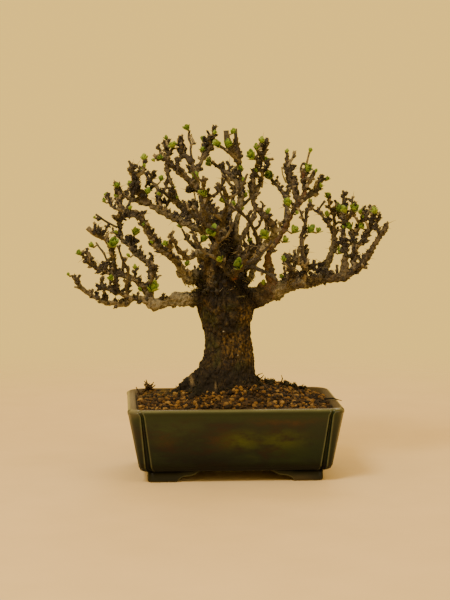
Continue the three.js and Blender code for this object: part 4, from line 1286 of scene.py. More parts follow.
def limb_tones(points):
    """How pale and how ruddy the bark is at each point, after the limb that runs nearest to it."""
    tones, spots = [], []
    for (course, _), (name, *_) in zip(fine_limbs, LIMBS):
        pale = along_limb(PALENESS.get(name, COMMON_PALENESS), len(course))
        spots.extend(course)
        tones.extend((share, RUDDY.get(name, 0.0)) for share in pale)
    finder = KDTree(len(spots))
    for i, spot in enumerate(spots):
        finder.insert(spot, i)
    finder.balance()
    return np.array(tones)[[finder.find(point)[1] for point in points]].T


# Swellings on the thick limbs: middle and radius
KNOBS = (
    (-45, -2, 140.3, 4.0),
    (-34, -2, 139.1, 4.5),
    (-52, -2, 133.2, 2.2),
    (-47, -3, 132.1, 2.0),
    (-31, -2, 133.9, 3.0),
    (-55, 0, 136.6, 4.0),
    (23, -3, 148.4, 3.4),
    (35, -3, 142.6, 6.6),
    (28, -4, 138.4, 4.2),
    (44, -2, 151.4, 4.6),
    (49, -1, 153.0, 4.0),
    (-30, -3, 158.0, 4.0),
    (-36, -3, 153.9, 3.8),
    (-42, -3, 159.0, 3.4),
)

# Limbs that thin out more towards the tip than the solid does
SLIMNESS = {"mid_left_arch": (1.0, 0.9, 0.55), "leader": (1.0, 0.9, 0.8, 0.9)}


def add_burrs(stock, course, widths, draw):
    """Small swellings on one side of a limb or the other."""
    for place, width in zip(course[2:-2:2], widths[2:-2:2]):
        if draw() < 0.45:
            side = around(unit(course[-1] - course[0]), draw() * ANY_TURN)
            middle = place + side * width * 0.55
            burr = [middle - side * width * 0.6, middle, middle + side * width * 0.45]
            stock.add(*tubes([burr], [[width * 0.4, width * 0.62, width * 0.3]], 8))


def weather(mesh):
    """Furrows, plates and burrs in the bark, deepest on the trunk."""
    points, normals = skin_points(mesh)
    count = len(points)
    rows = trunk_course()
    heights = points[:, 2]
    middle = np.interp(heights, rows[:, 2], rows[:, 0])
    radius = np.interp(heights, rows[:, 2], rows[:, 1])
    away = np.hypot(points[:, 0] - middle, points[:, 1]) - radius
    limb = np.clip((away - 1.5) / 7, 0, 1) * np.clip((heights - 100) / 12, 0, 1)
    limb = np.maximum(limb, np.clip((heights - 205) / 8, 0, 1))
    pale, ruddy = limb_tones(points)
    upper = np.clip((heights - 150) / 50, 0, 1)
    coarse = np.empty(count)
    furrow = np.empty(count)
    burr = np.empty(count)
    for i, (x, y, z) in enumerate(points):
        coarse[i] = noise.noise((x * 0.11, y * 0.11, z * 0.07))
        furrow[i] = abs(noise.noise((x * 0.3 + coarse[i], y * 0.3, z * 0.085)))
        burr[i] = noise.noise((x * 0.42 + 9, y * 0.42, z * 0.42))
    trunk_share = 1 - limb
    lift = trunk_share * (1.5 * coarse + 1.7 * np.minimum(furrow * 2.2, 0.8) - 1.1 + 0.75 * burr)
    lift *= mix(1.0, 0.5, upper)
    lift += limb * (1.1 * coarse + 1.5 * burr)
    points = points + normals * lift[:, None]
    mesh.vertices.foreach_set("co", to_metres(points).ravel())
    # Where the skin sinks into a furrow, which takes painted shade
    hollow = np.clip(1 - furrow * 5.5, 0, 1) * trunk_share
    for name, values in (("limb", limb), ("pale", pale), ("ruddy", ruddy), ("hollow", hollow)):
        layer = mesh.attributes.new(name, "FLOAT", "POINT")
        layer.data.foreach_set("value", values.astype(np.float32))
    mesh.update()


def make_wood():
    """Trunk, roots, thick limbs and swellings, grown together under one skin and then weathered."""
    stock = Stock()
    points, faces = ball_shape(2)
    for *middle, radius in KNOBS:
        stock.add(points * radius + middle, [faces])
    add_trunk(stock)
    add_roots(stock)
    draw = seeded(8642)
    for (course, radii), (name, parent, *_) in zip(fine_limbs, LIMBS):
        if radii[0] < THICK:
            continue
        widths = flared(course, radii, 6.0 if parent == "trunk" else 2.0)
        lumps = np.array([noise.noise(Vector(p) * 0.16) for p in course])
        widths = widths * (1 + 0.22 * lumps) * along_limb(SLIMNESS.get(name, (1.0,)), len(course))
        stock.add(*tubes([course], [widths], 14))
        add_burrs(stock, course, widths, draw)
    wood = add_piece(stock.mesh("tree_wood"), bark)
    skin = wood.modifiers.new("skin", "REMESH")
    skin.mode = "VOXEL"
    skin.voxel_size = SKIN_CELL * MM
    soften = wood.modifiers.new("soften", "SMOOTH")
    soften.factor = 0.5
    soften.iterations = 3
    weather(applied(wood))
    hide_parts("tree")
    return wood


tree_wood = make_wood()

# Thin limbs, branches and shoots

TWIG_SIDES = 8
STALK_RADIUS = 0.65


def make_twigs():
    """Thin limbs and branches, rods, shoots, the clumps' shoots and the stalks of seen buds."""
    stock = Stock()
    draw = seeded(1357)
    for name, (course, radii) in zip(wood_names, woods):
        if radii[0] >= THICK:
            continue
        lumps = np.array([noise.noise(Vector(p) * 0.45) for p in course])
        wobble = np.array([noise.noise_vector(Vector(p) * 0.2) for p in course]) * 0.7
        wobble[0] = 0
        widths = np.maximum(flared(course, radii, 1.0) * (1 + 0.3 * lumps), 0.45)
        points, faces = tubes([course + wobble], [widths], TWIG_SIDES)
        pale = along_limb(PALENESS.get(name, (0.2 + 0.6 * draw(), 0.3)), len(course))
        stock.add(points, faces, tone=np.repeat(pale, TWIG_SIDES))
    for (course, radii), (_, pale, *_) in zip(rods, RODS):
        lumps = np.array([noise.noise(Vector(p) * 0.5) for p in course])
        stock.add(*tubes([course], [radii * (1 + 0.15 * lumps)], 10), tone=pale)
    tones = np.array([draw() for _ in shoots])
    shoot_tones = np.repeat(tones * 0.8, SHOOT_POINTS * SHOOT_SIDES)
    stock.add(*tubes(shoots, shoot_widths, SHOOT_SIDES), tone=shoot_tones)
    stock.add(*tubes(clumps, clump_widths, SHOOT_SIDES), tone=-0.1)
    stalks = np.array([stalk for stalk, _ in seen_buds])
    stock.add(*tubes(stalks, np.full(stalks.shape[:2], STALK_RADIUS), 6), tone=0.5)
    add_piece(stock.mesh("tree_twigs"), twig_bark)


# Rings of a spur from its foot to its tip, as shares of its size
SPUR_SWELLS = np.array([0.8, 1.0, 0.82, 1.05, 0.86, 0.95, 0.5])
SPUR_SIDES = 5
SPUR_FLAKES = 5
SPUR_PIECES = 4


def make_spurs(name, some_spurs, seed):
    """Short knobbly spurs ringed with old bud scales, which stand out as ragged flakes."""
    stock = Stock()
    draw = seeded(seed)
    courses, widths, tones = [], [], []
    for place, heading, size, pale in some_spurs:
        length = size * (1.4 + 1.5 * draw())
        bend = around(heading, draw() * ANY_TURN) * length * 0.12
        steps = np.linspace(0, 1, len(SPUR_SWELLS))[:, None]
        courses.append(place + heading * steps * length + bend * steps**2)
        widths.append(SPUR_SWELLS * size * (0.9 + 0.3 * draw()))
        tones.append(pale)
    stock.add(*tubes(courses, widths, SPUR_SIDES), tone=np.repeat(tones, len(SPUR_SWELLS) * SPUR_SIDES))
    flakes, corners, flake_tones = [], [], []
    for course, (_, heading, size, tone) in zip(courses, some_spurs):
        for k in range(SPUR_FLAKES):
            base = course[k - SPUR_FLAKES]
            side = around(heading, k * GOLDEN_TURN + size * 9)
            edge = np.cross(heading, side) * size * 0.5
            tip = base + side * size * (1.0 + 0.35 * draw()) + heading * size * (0.4 + 0.6 * draw())
            inner = base + side * size * 0.5
            thick = heading * size * 0.3
            flakes += [inner - edge, inner + edge, tip, inner - thick]
            flake_tones += [tone, tone, tone + 0.5 * draw(), tone]
            corners.append(len(flakes) - 4)
    corners = np.array(corners)[:, None]
    faces = np.concatenate([corners + side for side in ([0, 1, 2], [0, 2, 3], [1, 3, 2], [0, 3, 1])])
    stock.add(flakes, [faces], tone=flake_tones)
    add_piece(stock.mesh(name), twig_bark, smooth=False)


# The share of spurs without a thorn
SPINELESS = 0.62


def make_spines():
    """Thin thorns beside some of the spurs."""
    draw = seeded(4444)
    courses, widths = [], []
    for place, heading, *_ in spurs:
        if draw() < SPINELESS:
            continue
        side = around(heading, draw() * ANY_TURN)
        way = unit(heading * 0.5 + side + UP * 0.15)
        length = 3.5 + 4.5 * draw()
        courses.append([place, place + way * length * 0.5, place + way * length])
        widths.append([0.24, 0.17, 0.04])
    stock = Stock()
    stock.add(*tubes(courses, widths, 4), tone=0.9)
    add_piece(stock.mesh("tree_spines"), twig_bark)


make_twigs()
share = math.ceil(len(spurs) / SPUR_PIECES)
for k in range(SPUR_PIECES):
    make_spurs(f"tree_spurs_{k + 1}", spurs[k * share : (k + 1) * share], 2222 + k)
make_spines()

# Opening leaf buds

LEAF_GREENS = [(0.0, (0.05, 0.1, 0.018)), (0.5, (0.116, 0.195, 0.026)), (1.0, (0.215, 0.295, 0.05))]
LEAF_FOOT = (0.06, 0.07, 0.01)
LEAF_FLECK = (0.22, 0.23, 0.04)


def make_leaf_finish():
    leaf = Finish("young leaf", Roughness=0.55, Specular_IOR_Level=0.22)
    tone = leaf.kept("tone")
    depth = leaf.kept("depth")
    fine = leaf.noise(1.2, 3.0, 0.6)
    color = leaf.mixed(LEAF_FOOT, leaf.ramp(tone, LEAF_GREENS), depth.step(-0.1, 0.6))
    color = leaf.mixed(color, LEAF_FLECK, fine.step(0.52, 0.75) * 0.4)
    leaf.set(Base_Color=color)
    leaf.bumps(fine, 0.15)
    return leaf


# A leaf from root to tip: how far along, and how wide
LEAF_STATIONS = ((0.0, 0.16), (0.3, 0.5), (0.62, 1.0), (0.86, 0.78), (1.0, 0.2))
LEAF_HALF_THICKNESS = 0.07


def add_leaf(stock, root, way, side, length, width, cup, tone):
    """One cupped, spoon-shaped leaf as a thin closed blade."""
    face = np.cross(side, way)
    upper, lower = [], []
    for far, wide in LEAF_STATIONS:
        middle = root + way * length * far + face * cup * length * (far**2)
        for across in (-1, 0, 1):
            fold = face * abs(across) * width * wide * 0.22
            spot = middle + side * across * width * wide * 0.5 + fold
            upper.append(spot + face * LEAF_HALF_THICKNESS)
            lower.append(spot - face * LEAF_HALF_THICKNESS)
    rows = len(LEAF_STATIONS)
    index = np.arange(rows * 3).reshape(rows, 3)
    top = np.stack([index[:-1, :-1], index[:-1, 1:], index[1:, 1:], index[1:, :-1]], -1).reshape(-1, 4)
    under = top[:, ::-1] + rows * 3
    rim = np.concatenate([index[0], index[1:, 2], index[-1, 1::-1], index[-2:0:-1, 0]])
    ahead = np.roll(rim, -1)
    edge = np.stack([ahead, rim, rim + rows * 3, ahead + rows * 3], -1)
    depth = np.repeat([far for far, _ in LEAF_STATIONS], 3)
    stock.add(upper + lower, [top, under, edge], tone=tone, depth=np.concatenate([depth, depth]))


# How likely a bud is at a tip at the front, at a tip at the back and on a shoot, where it grows with depth
FRONT_TIP_CHANCE = 0.1
BACK_TIP_CHANCE = 0.6
SHOOT_CHANCE = 0.055
SHOOT_CHANCE_GROWTH = 0.001


def bud_places():
    """Opening buds sit where they are seen, at the tips of limbs and branches and on some shoots."""
    draw = seeded(6060)
    rise = np.array([0.0, -0.3, 1.2])
    seen, tips, sides = [], [], []
    for stalk, size in seen_buds:
        seen.append((stalk[-1], unit(unit(stalk[-1] - stalk[-2]) + rise), size * 1.5))
    for course, radii in woods:
        tip = course[-1]
        size = 1.0 + 0.6 * draw() ** 1.5
        if radii[-1] < 1.35 and draw() < (FRONT_TIP_CHANCE if tip[1] < 0 else BACK_TIP_CHANCE):
            tips.append((tip, unit(tip - course[-3]), size))
    for course in shoots:
        tip = course[-1]
        chance = draw()
        size = 0.8 + 0.6 * draw()
        if chance < SHOOT_CHANCE + SHOOT_CHANCE_GROWTH * tip[1]:
            sides.append((tip, unit(tip - course[-2]), size))
    return seen + [place for place in tips if not hides_bud(place[0])] + sides


def make_buds():
    """Each bud is a rosette of leaves: the first stand up and the last spread out."""
    stock = Stock()
    draw = seeded(7070)
    for tip, way, size in bud_places():
        way = unit(way + UP * 0.5)
        count = 9 if size > 1.1 else 6
        tone = 0.25 + 0.65 * draw()
        for k in range(count):
            turn = k * GOLDEN_TURN + size * 20
            open_share = 0.25 + 0.75 * (k / count)
            out = around(way, turn)
            heading = unit(way * (1.4 - 1.0 * open_share) + out * (0.2 + 0.75 * open_share))
            side = unit(np.cross(heading, way))
            length = size * (2.9 + 1.5 * draw())
            root = tip + way * size * 0.4 * (1 - open_share)
            leaf_tone = min(tone + 0.5 * (draw() - 0.4), 1)
            add_leaf(stock, root, heading, side, length, size * 2.3, 0.25, leaf_tone)
    add_piece(stock.mesh("tree_buds"), make_leaf_finish())


make_buds()

# Pot: the corners' beads and grooves, and points of a corner and of a side

BEAD_HEIGHT = 0.65
BEAD_WIDTH = 0.75
GROOVE_DEPTH = 1.7
CORNER_POINTS = 65
SIDE_POINTS = 8


def bead(away):
    """How far a bead stands out, at a distance from its middle."""
    return BEAD_HEIGHT * math.exp(-((away / BEAD_WIDTH) ** 2))


def corner_profile(post, groove):
    """Across one corner, as distances from the corner point with each point's lift from the plain wall.

    A flat panel ends in a bead, then come a groove, a second bead and the round corner post.
    """
    side = []
    for s in np.linspace(-post - groove - 3.0, -post, 26):
        share = (s + post + groove) / groove
        sink = max(math.sin(min(max(share, 0), 1) * math.pi), 0) ** 0.6
        side.append((s, bead(s + post + groove) + bead(s + post) - GROOVE_DEPTH * sink))
    arc = []
    for turn in np.linspace(0, math.pi / 2, 15)[1:-1]:
        lift = bead(min(turn, math.pi / 2 - turn) * post)
        arc.append((math.sin(turn) * (post + lift) - post, math.cos(turn) * (post + lift) - post, lift))
    first = [(s, lift, lift) for s, lift in side]
    last = [(lift, s, lift) for s, lift in reversed(side)]
    return first + arc + last


def plain_profile(radius):
    """Across a corner that is a plain arc."""
    turns = np.linspace(0, math.pi / 2, CORNER_POINTS)
    return [(radius * (math.sin(t) - 1), radius * (math.cos(t) - 1), 0.0) for t in turns]


def ring(profile, half_width, half_depth, z):
    """A corner profile taken anticlockwise round the pot: points, and how far each stands proud."""
    back = profile[::-1]
    points, lifts = [], []
    corners = [
        [(sx * (half_width + u), sy * (half_depth + v), z, lift) for u, v, lift in order]
        for sx, sy, order in ((1, -1, profile), (1, 1, back), (-1, 1, profile), (-1, -1, back))
    ]
    for i, corner in enumerate(corners):
        a, b = np.array(corner[-1]), np.array(corners[(i + 1) % 4][0])
        spread = [mix(a, b, t / SIDE_POINTS) for t in range(1, SIDE_POINTS)]
        for point in [np.array(place) for place in corner] + spread:
            points.append(point[:3])
            lifts.append(point[3])
    return np.array(points), np.array(lifts)


# A corner's post and groove at the foot line and under the lip
POSTS = (4, 8.5)
GROOVES = (4.6, 2.8)

# The inside's corner at the floor and at the mouth
INSIDE_CORNERS = (8, 11)


def wall_ring(level, inset, z):
    """The outer wall from the foot line (0) to the lip (1)."""
    return ring(
        corner_profile(mix(*POSTS, level), mix(*GROOVES, level)),
        mix(BASE_HALF_WIDTH, RIM_HALF_WIDTH - 1, level) - inset,
        mix(BASE_HALF_DEPTH, RIM_HALF_DEPTH - 1, level) - inset,
        z,
    )


def lip_ring(inset, z, plain):
    """The rim, where the corners' grooves run out as the profile goes from carved (0) to plain (1)."""
    carved = np.array(corner_profile(POSTS[1], GROOVES[1]))
    smooth = np.array(plain_profile(max(LIP_CORNER - inset, 4)))
    return ring(mix(carved, smooth, plain), RIM_HALF_WIDTH - inset, RIM_HALF_DEPTH - inset, z)


def inside_ring(z, margin=0.0):
    """The pot's inner wall, which narrows towards the floor."""
    level = (z - FLOOR_TOP) / (POT_HEIGHT - FLOOR_TOP)
    return ring(
        plain_profile(mix(*INSIDE_CORNERS, level)),
        mix(FLOOR_HALF_WIDTH, RIM_HALF_WIDTH - LIP_WIDTH, level) - margin,
        mix(FLOOR_HALF_DEPTH, RIM_HALF_DEPTH - LIP_WIDTH, level) - margin,
        z,
    )


# The glaze's colours

GLAZE_SHADES = [
    (0.28, (0.006, 0.007, 0.0075)),
    (0.4, (0.013, 0.0095, 0.008)),
    (0.5, (0.009, 0.012, 0.009)),
    (0.6, (0.011, 0.017, 0.0095)),
    (0.74, (0.02, 0.024, 0.008)),
]
OLIVE_GLAZE = (0.04, 0.05, 0.008)
BOTTLE_GREEN = (0.012, 0.02, 0.008)
RUSTY_GLAZE = (0.034, 0.018, 0.009)
SEA_GREEN = (0.0075, 0.0155, 0.0095)
LEAFY_GLAZE = (0.02, 0.034, 0.014)
UPPER_GREEN = (0.014, 0.027, 0.0105)
# Painted shade towards the pot's foot
LOW_SHADE_COLOR = (0.004, 0.0042, 0.006)
WORN_FOOT = (0.06, 0.042, 0.02)
# Painted shade on the left front foot
LEFT_FOOT_SHADE = (0.005, 0.0055, 0.006)
GLAZE_SPECK = (0.003, 0.005, 0.004)
# Pale where the glaze thins on edges and beads, and a painted highlight along the rim
THIN_GLAZE_AND_HIGHLIGHT = (0.158, 0.162, 0.084)
INNER_GLAZE = (0.078, 0.058, 0.031)
BUFF_RIM = (0.16, 0.135, 0.088)
BROWN_RIM = (0.064, 0.045, 0.017)
BARE_CLAY = (0.1, 0.06, 0.03)

# Where the colours gather on the pot: middle and reach
OLIVE_CLOUDS = (((4, -54, 34), (24, 20, 12)), ((37, -54, 33), (36, 20, 13)))
BOTTLE_CLOUD = ((44, -50, 22), (34, 20, 14))
RUST_CLOUDS = (((36, -57, 49), (42, 20, 7)), ((-12, -54, 34), (17, 20, 12)))
FAINT_RUST_CLOUD = ((-55, -54, 36), (16, 20, 10))
SEA_CLOUD = ((64, -54, 32), (26, 20, 24))
LEAFY_CLOUD = ((-48, -56, 45), (34, 20, 10))
# Painted shade low on the front
LOW_SHADE_PATCH = ((-28, -51, 18), (44, 20, 9))
WORN_PATCH = ((48, -44, 2), (20, 20, 4.5))
# Where the painted shade lies on the left front foot
LEFT_FOOT_SHADE_PATCH = ((-48, -44, 4), (36, 24, 10))
LEFT_RIM = ((-79, 0, 57.5), (12, 100, 9))
RIGHT_RIM = ((82, -30, 57.5), (9, 72, 7))


def make_glaze():
    glaze = Finish("glaze", Coat_Roughness=0.14, Specular_IOR_Level=0.07)
    edge = glaze.kept("edge")
    inner = glaze.kept("inner")
    bare = glaze.kept("bare")
    height = glaze.height()
    clouds = glaze.noise(26.0, 4.0, 0.6, glaze.stretched(0.7, 0.7, 1.9), 0.8)
    drift = glaze.noise(10.0, 4.0, 0.65, glaze.stretched(0.7, 0.7, 1.6))
    grain = glaze.noise(0.9, 2.0, 0.6)
    color = glaze.ramp(clouds * 0.55 + drift * 0.45, GLAZE_SHADES)
    soft = drift.step(0.25, 0.65)
    color = glaze.mixed(color, OLIVE_GLAZE, stains(glaze, *OLIVE_CLOUDS) * soft * 0.9)
    color = glaze.mixed(color, BOTTLE_GREEN, stain(glaze, *BOTTLE_CLOUD) * soft * 0.8)
    rust = any_of(stains(glaze, *RUST_CLOUDS), stain(glaze, *FAINT_RUST_CLOUD) * 0.8)
    color = glaze.mixed(color, RUSTY_GLAZE, rust * (1.15 - soft))
    color = glaze.mixed(color, SEA_GREEN, stain(glaze, *SEA_CLOUD) * 0.7)
    color = glaze.mixed(color, LEAFY_GLAZE, stain(glaze, *LEAFY_CLOUD) * soft * 0.6)
    # Painted shade: darker towards the bottom of the wall and low on the front
    low_shade = any_of(stain(glaze, *LOW_SHADE_PATCH) * 0.75, 1 - height.step(9, 19))
    color = glaze.mixed(color, LOW_SHADE_COLOR, low_shade * 0.8)
    color = glaze.mixed(color, UPPER_GREEN, height.step(46, 54) * 0.7)
    color = glaze.mixed(color, WORN_FOOT, stain(glaze, *WORN_PATCH) * 0.45)
    # Painted shade on the left front foot
    color = glaze.mixed(color, LEFT_FOOT_SHADE, stain(glaze, *LEFT_FOOT_SHADE_PATCH) * 0.9)
    color = glaze.mixed(color, GLAZE_SPECK, grain.step(0.6, 0.75) * 0.3)
    # Thin glaze on the beads and edges, and a painted highlight along the rim
    color = glaze.mixed(color, THIN_GLAZE_AND_HIGHLIGHT, (edge * (0.35 + drift * 0.8)).capped(1.0))
    color = glaze.mixed(color, INNER_GLAZE, inner * 0.92)
    color = glaze.mixed(color, BUFF_RIM, stain(glaze, *LEFT_RIM) * 0.8)
    color = glaze.mixed(color, BROWN_RIM, stain(glaze, *RIGHT_RIM) * 0.75)
    color = glaze.mixed(color, BARE_CLAY, bare)
    glossy = (1 - bare) * (1 - inner * 0.95) * (1 - edge * 0.4) * (0.04 + 0.36 * height.step(8, 50))
    glaze.set(Base_Color=color, Roughness=0.3 + drift * 0.12 + bare * 0.5 + inner * 0.5, Coat_Weight=glossy)
    glaze.bumps(drift * 0.8 + grain * 0.2, 0.3)
    return glaze


# The wall's lowest rings: share of the way up, inset and height
WALL_FOOT = ((0.0, 4.4, 8.7), (0.0, 2.6, 8.8), (0.0, 1.2, 9.4), (0.01, 0.4, 10.5), (0.04, 0.05, 12.2))

# The rim from outside to inside: inset, height, paleness (thin glaze, and a painted highlight along the rim's
# front) and how plain its corners are
LIP_TURN = (
    (0.8, 54.2, 0.0, 0.0), (0.4, 55.0, 0.0, 0.05), (0.1, 55.8, 0.02, 0.15), (0.05, 56.7, 0.2, 0.3),
    (0.5, 57.5, 0.65, 0.55), (1.3, 58.15, 0.8, 0.8), (2.7, 58.45, 0.15, 1.0), (4.4, 58.4, 0.0, 1.0),
    (5.8, 57.9, 0.15, 1.0), (6.6, 57.0, 0.2, 1.0),
)


# The wall's highest ring, and the heights of the inside's rings
WALL_TOP = 54
INSIDE_LEVELS = (55.5, 53, 50, 40, 28, 18)


def make_pot():
    """Rings up the wall, over the rim and down inside, with where the glaze is thin or carries a painted
    highlight, and the feet.
    """
    rings, edges, inners = [], [], []

    def level(made, edge, inner, beads=0.0):
        points, lifts = made
        rings.append(points)
        edges.append(np.maximum(edge, np.clip(lifts * 1.7 - 0.1, 0, 1) * beads))
        inners.append(np.full(len(points), inner))

    for share, inset, z in WALL_FOOT:
        level(wall_ring(share, inset, z), 0.0, 0.0, 0.2)
    for share in np.linspace(0.08, 0.985, 10):
        level(wall_ring(share, 0.0, mix(FOOT_HEIGHT, WALL_TOP, share)), 0.0, 0.0, 0.75)
    for inset, z, edge, plain in LIP_TURN:
        level(lip_ring(inset, z, plain), edge, 0.0 if inset < 2 else 1.0, 0.75 * (1 - plain))
    for z in INSIDE_LEVELS:
        level(inside_ring(z), 0.0, 1.0)
    level(inside_ring(15, 1.0), 0.0, 1.0)
    level(inside_ring(FLOOR_TOP, 3.0), 0.0, 1.0)
    stock = Stock()
    lofted(stock, rings, edge=np.concatenate(edges), inner=np.concatenate(inners), bare=0.0)
    add_feet(stock)
    pot = add_piece(stock.mesh("glazed_pot"), make_glaze())
    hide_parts("pot")


# The bracket feet's outer faces, and their arms' lengths and sweep
FOOT_FACE_X = BASE_HALF_WIDTH - 5.5
FOOT_FACE_Y = BASE_HALF_DEPTH - 4.0
FOOT_THICKNESS = 9.0
FOOT_BEND = 4.5
LONG_ARM = 46.0
SHORT_ARM = 27.0
ARM_SWEEP = 17.5

# How thin the glaze is at each point of a foot's section, from the outside round to the inside
FOOT_EDGES = (0.0, 0.1, 0.6, 0.35, 0.0, 0.0, 0.0)


def under_arm(along, flat_end):
    """The height of a bracket foot's lower edge: flat on the table, then an ogee up to the pot."""
    t = (flat_end - along) / ARM_SWEEP
    if t <= 0:
        return 0.0
    t = min(t, 1.0)
    return (FOOT_HEIGHT - 0.6) * (t + 0.13 * math.sin(2 * math.pi * t)) ** 0.85


def foot_stations():
    """Places along the foot's face, from the long arm's tip round the corner to the short arm's."""
    stations = []
    arc_x, arc_y = FOOT_FACE_X - FOOT_BEND, FOOT_FACE_Y - FOOT_BEND
    long_sweep = np.linspace(LONG_ARM - ARM_SWEEP, LONG_ARM, 14)
    short_sweep = np.linspace(SHORT_ARM, SHORT_ARM - ARM_SWEEP, 14)
    for u in np.concatenate([long_sweep, np.linspace(LONG_ARM + 3, arc_x, 5)]):
        stations.append((u, FOOT_FACE_Y, 0, -1, under_arm(u, LONG_ARM)))
    for turn in np.linspace(math.pi / 2, 0, 9)[1:-1]:
        c, s = math.cos(turn), math.sin(turn)
        stations.append((arc_x + FOOT_BEND * c, arc_y + FOOT_BEND * s, -c, -s, 0.0))
    for v in np.concatenate([np.linspace(arc_y, SHORT_ARM + 3, 4), short_sweep]):
        stations.append((FOOT_FACE_X, v, -1, 0, under_arm(v, SHORT_ARM)))
    return stations


def add_feet(stock):
    """Four bracket feet, each bent round a corner of the pot."""
    top = FOOT_HEIGHT + 1.2
    for sx in (-1, 1):
        for sy in (-1, 1):
            rings = []
            for x, y, nx, ny, low_edge in foot_stations():
                section = (
                    (0.0, top), (0.0, max(low_edge + 1.3, 1.3)), (0.25, low_edge + 0.5), (0.9, low_edge),
                    (FOOT_THICKNESS - 0.6, low_edge), (FOOT_THICKNESS, low_edge + 0.6), (FOOT_THICKNESS, top),
                )
                ring_points = []
                for inward, z in section:
                    px, py = x + nx * inward, y + ny * inward
                    if inward > 5:
                        px = min(x, FOOT_FACE_X - inward)
                        py = min(y, FOOT_FACE_Y - inward)
                    ring_points.append((sx * px, sy * py, min(z, top)))
                rings.append(ring_points)
            heights = np.array(rings)[:, :, 2].ravel()
            rim = np.tile(FOOT_EDGES, len(rings))
            bare = np.clip((1.0 - heights) * 0.8, 0, 0.8)
            lofted(stock, rings, sx * sy < 0, edge=rim * (1 - bare), inner=0.0, bare=bare)


make_pot()

# Soil

# The heaps round the trunk, before it and behind it on the right, and a dip beyond: height, middle and reach
SOIL_HEAPS = (
    (SOIL_MOUND, (-4, 0), (52, 38)),
    (5.5, (10, -26), (20, 13)),
    (5.5, (38, 24), (26, 22)),
    (-3, (80, 40), (16, 20)),
)


def soil_height(x, y):
    """The heaps and the dip over the height of the soil's edge."""
    height = SOIL_EDGE
    for rise, (middle_x, middle_y), (reach_x, reach_y) in SOIL_HEAPS:
        height += rise * math.exp(-(((x - middle_x) / reach_x) ** 2) - ((y - middle_y) / reach_y) ** 2)
    return height


# The gap between the soil and the pot's inner wall
MOUTH_GAP = 0.8


def inside_pot(x, y, margin):
    """True where a place lies inside the pot's mouth, clear of the wall by the margin."""
    half_width = RIM_HALF_WIDTH - LIP_WIDTH - MOUTH_GAP - margin
    half_depth = RIM_HALF_DEPTH - LIP_WIDTH - MOUTH_GAP - margin
    corner = INSIDE_CORNERS[1] - margin
    u = max(abs(x) - (half_width - corner), 0)
    v = max(abs(y) - (half_depth - corner), 0)
    return abs(x) < half_width and abs(y) < half_depth and math.hypot(u, v) < corner


# Clay grains from the darkest to the brightest
GRAIN_SHADES = [
    (0.0, (0.006, 0.005, 0.005)),
    (0.24, (0.018, 0.012, 0.008)),
    (0.42, (0.05, 0.028, 0.01)),
    (0.58, (0.11, 0.056, 0.013)),
    (0.74, (0.18, 0.098, 0.024)),
    (0.88, (0.1, 0.06, 0.02)),
    (1.0, (0.21, 0.128, 0.038)),
]
DUSTY_GRAIN = (0.04, 0.025, 0.012)
MOSSY_GRAIN = (0.085, 0.07, 0.014)
MOSSY_PATCH = ((-52, 14, 58), (34, 46, 20))


def make_grain_finish():
    grain = Finish("clay grain", Roughness=0.95, Specular_IOR_Level=0.2)
    tone = grain.kept("tone")
    fine = grain.noise(0.9, 4.0, 0.7)
    pits = grain.cells(0.8)
    color = grain.mixed(grain.ramp(tone, GRAIN_SHADES), DUSTY_GRAIN, fine.step(0.52, 0.72) * 0.55)
    mossy = stain(grain, *MOSSY_PATCH) * grain.noise(5.0).step(0.45, 0.6)
    color = grain.mixed(color, MOSSY_GRAIN, mossy * 0.6)
    grain.set(Base_Color=color, Roughness=0.86 + fine * 0.14)
    grain.bumps(fine * 0.6 + pits * 0.4, 0.4)
    return grain


# The round patch of soil that the trunk's foot covers: its middle and radius
TRUNK_FOOT_X = -6
TRUNK_FOOT_RADIUS = 23


def make_grains(name, finish, subdivisions, spacing, sizes, palest):
    """Loose grains spread over the soil, each at its own height and turned its own way."""
    points, faces = ball_shape(subdivisions)
    draw = seeded(3030 + subdivisions)
    stock = Stock()
    y = -RIM_HALF_DEPTH
    while y < RIM_HALF_DEPTH:
        x = -RIM_HALF_WIDTH
        while x < RIM_HALF_WIDTH:
            px = x + (draw() - 0.5) * spacing * 1.2
            py = y + (draw() - 0.5) * spacing * 1.2
            size = mix(*sizes, draw() ** 1.7)
            patch = noise.noise(Vector((px * 0.07, py * 0.07, 3.0)))
            tone = palest * draw() * min(max(1.02 + 1.2 * patch, 0.35), 1.12)
            lift = draw()
            squash = np.array([0.75 + 0.5 * draw(), 0.75 + 0.5 * draw(), 0.65 + 0.4 * draw()])
            shift = draw() * 100
            x += spacing
            under_trunk = math.hypot(px - TRUNK_FOOT_X, py / TRUNK_FLATNESS) < TRUNK_FOOT_RADIUS
            if under_trunk or not inside_pot(px, py, size * 0.9):
                continue
            rough = np.array([noise.noise(Vector(p) * 1.3 + Vector((shift, 0, 0))) for p in points])
            shape = points * (1 + 0.4 * rough)[:, None] * squash * size
            centre = np.array([px, py, soil_height(px, py) + 0.3 + (lift - 0.5) * 2.2])
            stock.add(shape + centre, [faces], tone=tone)
        y += spacing * 0.87
    add_piece(stock.mesh(name), finish, smooth=False)


clay = make_grain_finish()
make_grains("soil_grains", clay, 2, 3.0, (0.9, 2.0), 1.0)
# The crumbs that fill the gaps between the grains are kept darker: painted shade in the gaps
make_grains("soil_crumbs", clay, 1, 1.95, (0.5, 0.9), 0.6)

# Finishes of the solids that keep their own shape

PACKED_CLAY = (0.05, 0.03, 0.013)
CLAY_SHADOW = (0.012, 0.008, 0.006)
GRIT_STONE = (0.36, 0.34, 0.3)
NET_SHADES = [(0.3, (0.018, 0.02, 0.016)), (0.7, (0.035, 0.038, 0.03))]
WIRE_SHADES = [(0.3, (0.3, 0.14, 0.07)), (0.7, (0.5, 0.27, 0.14))]


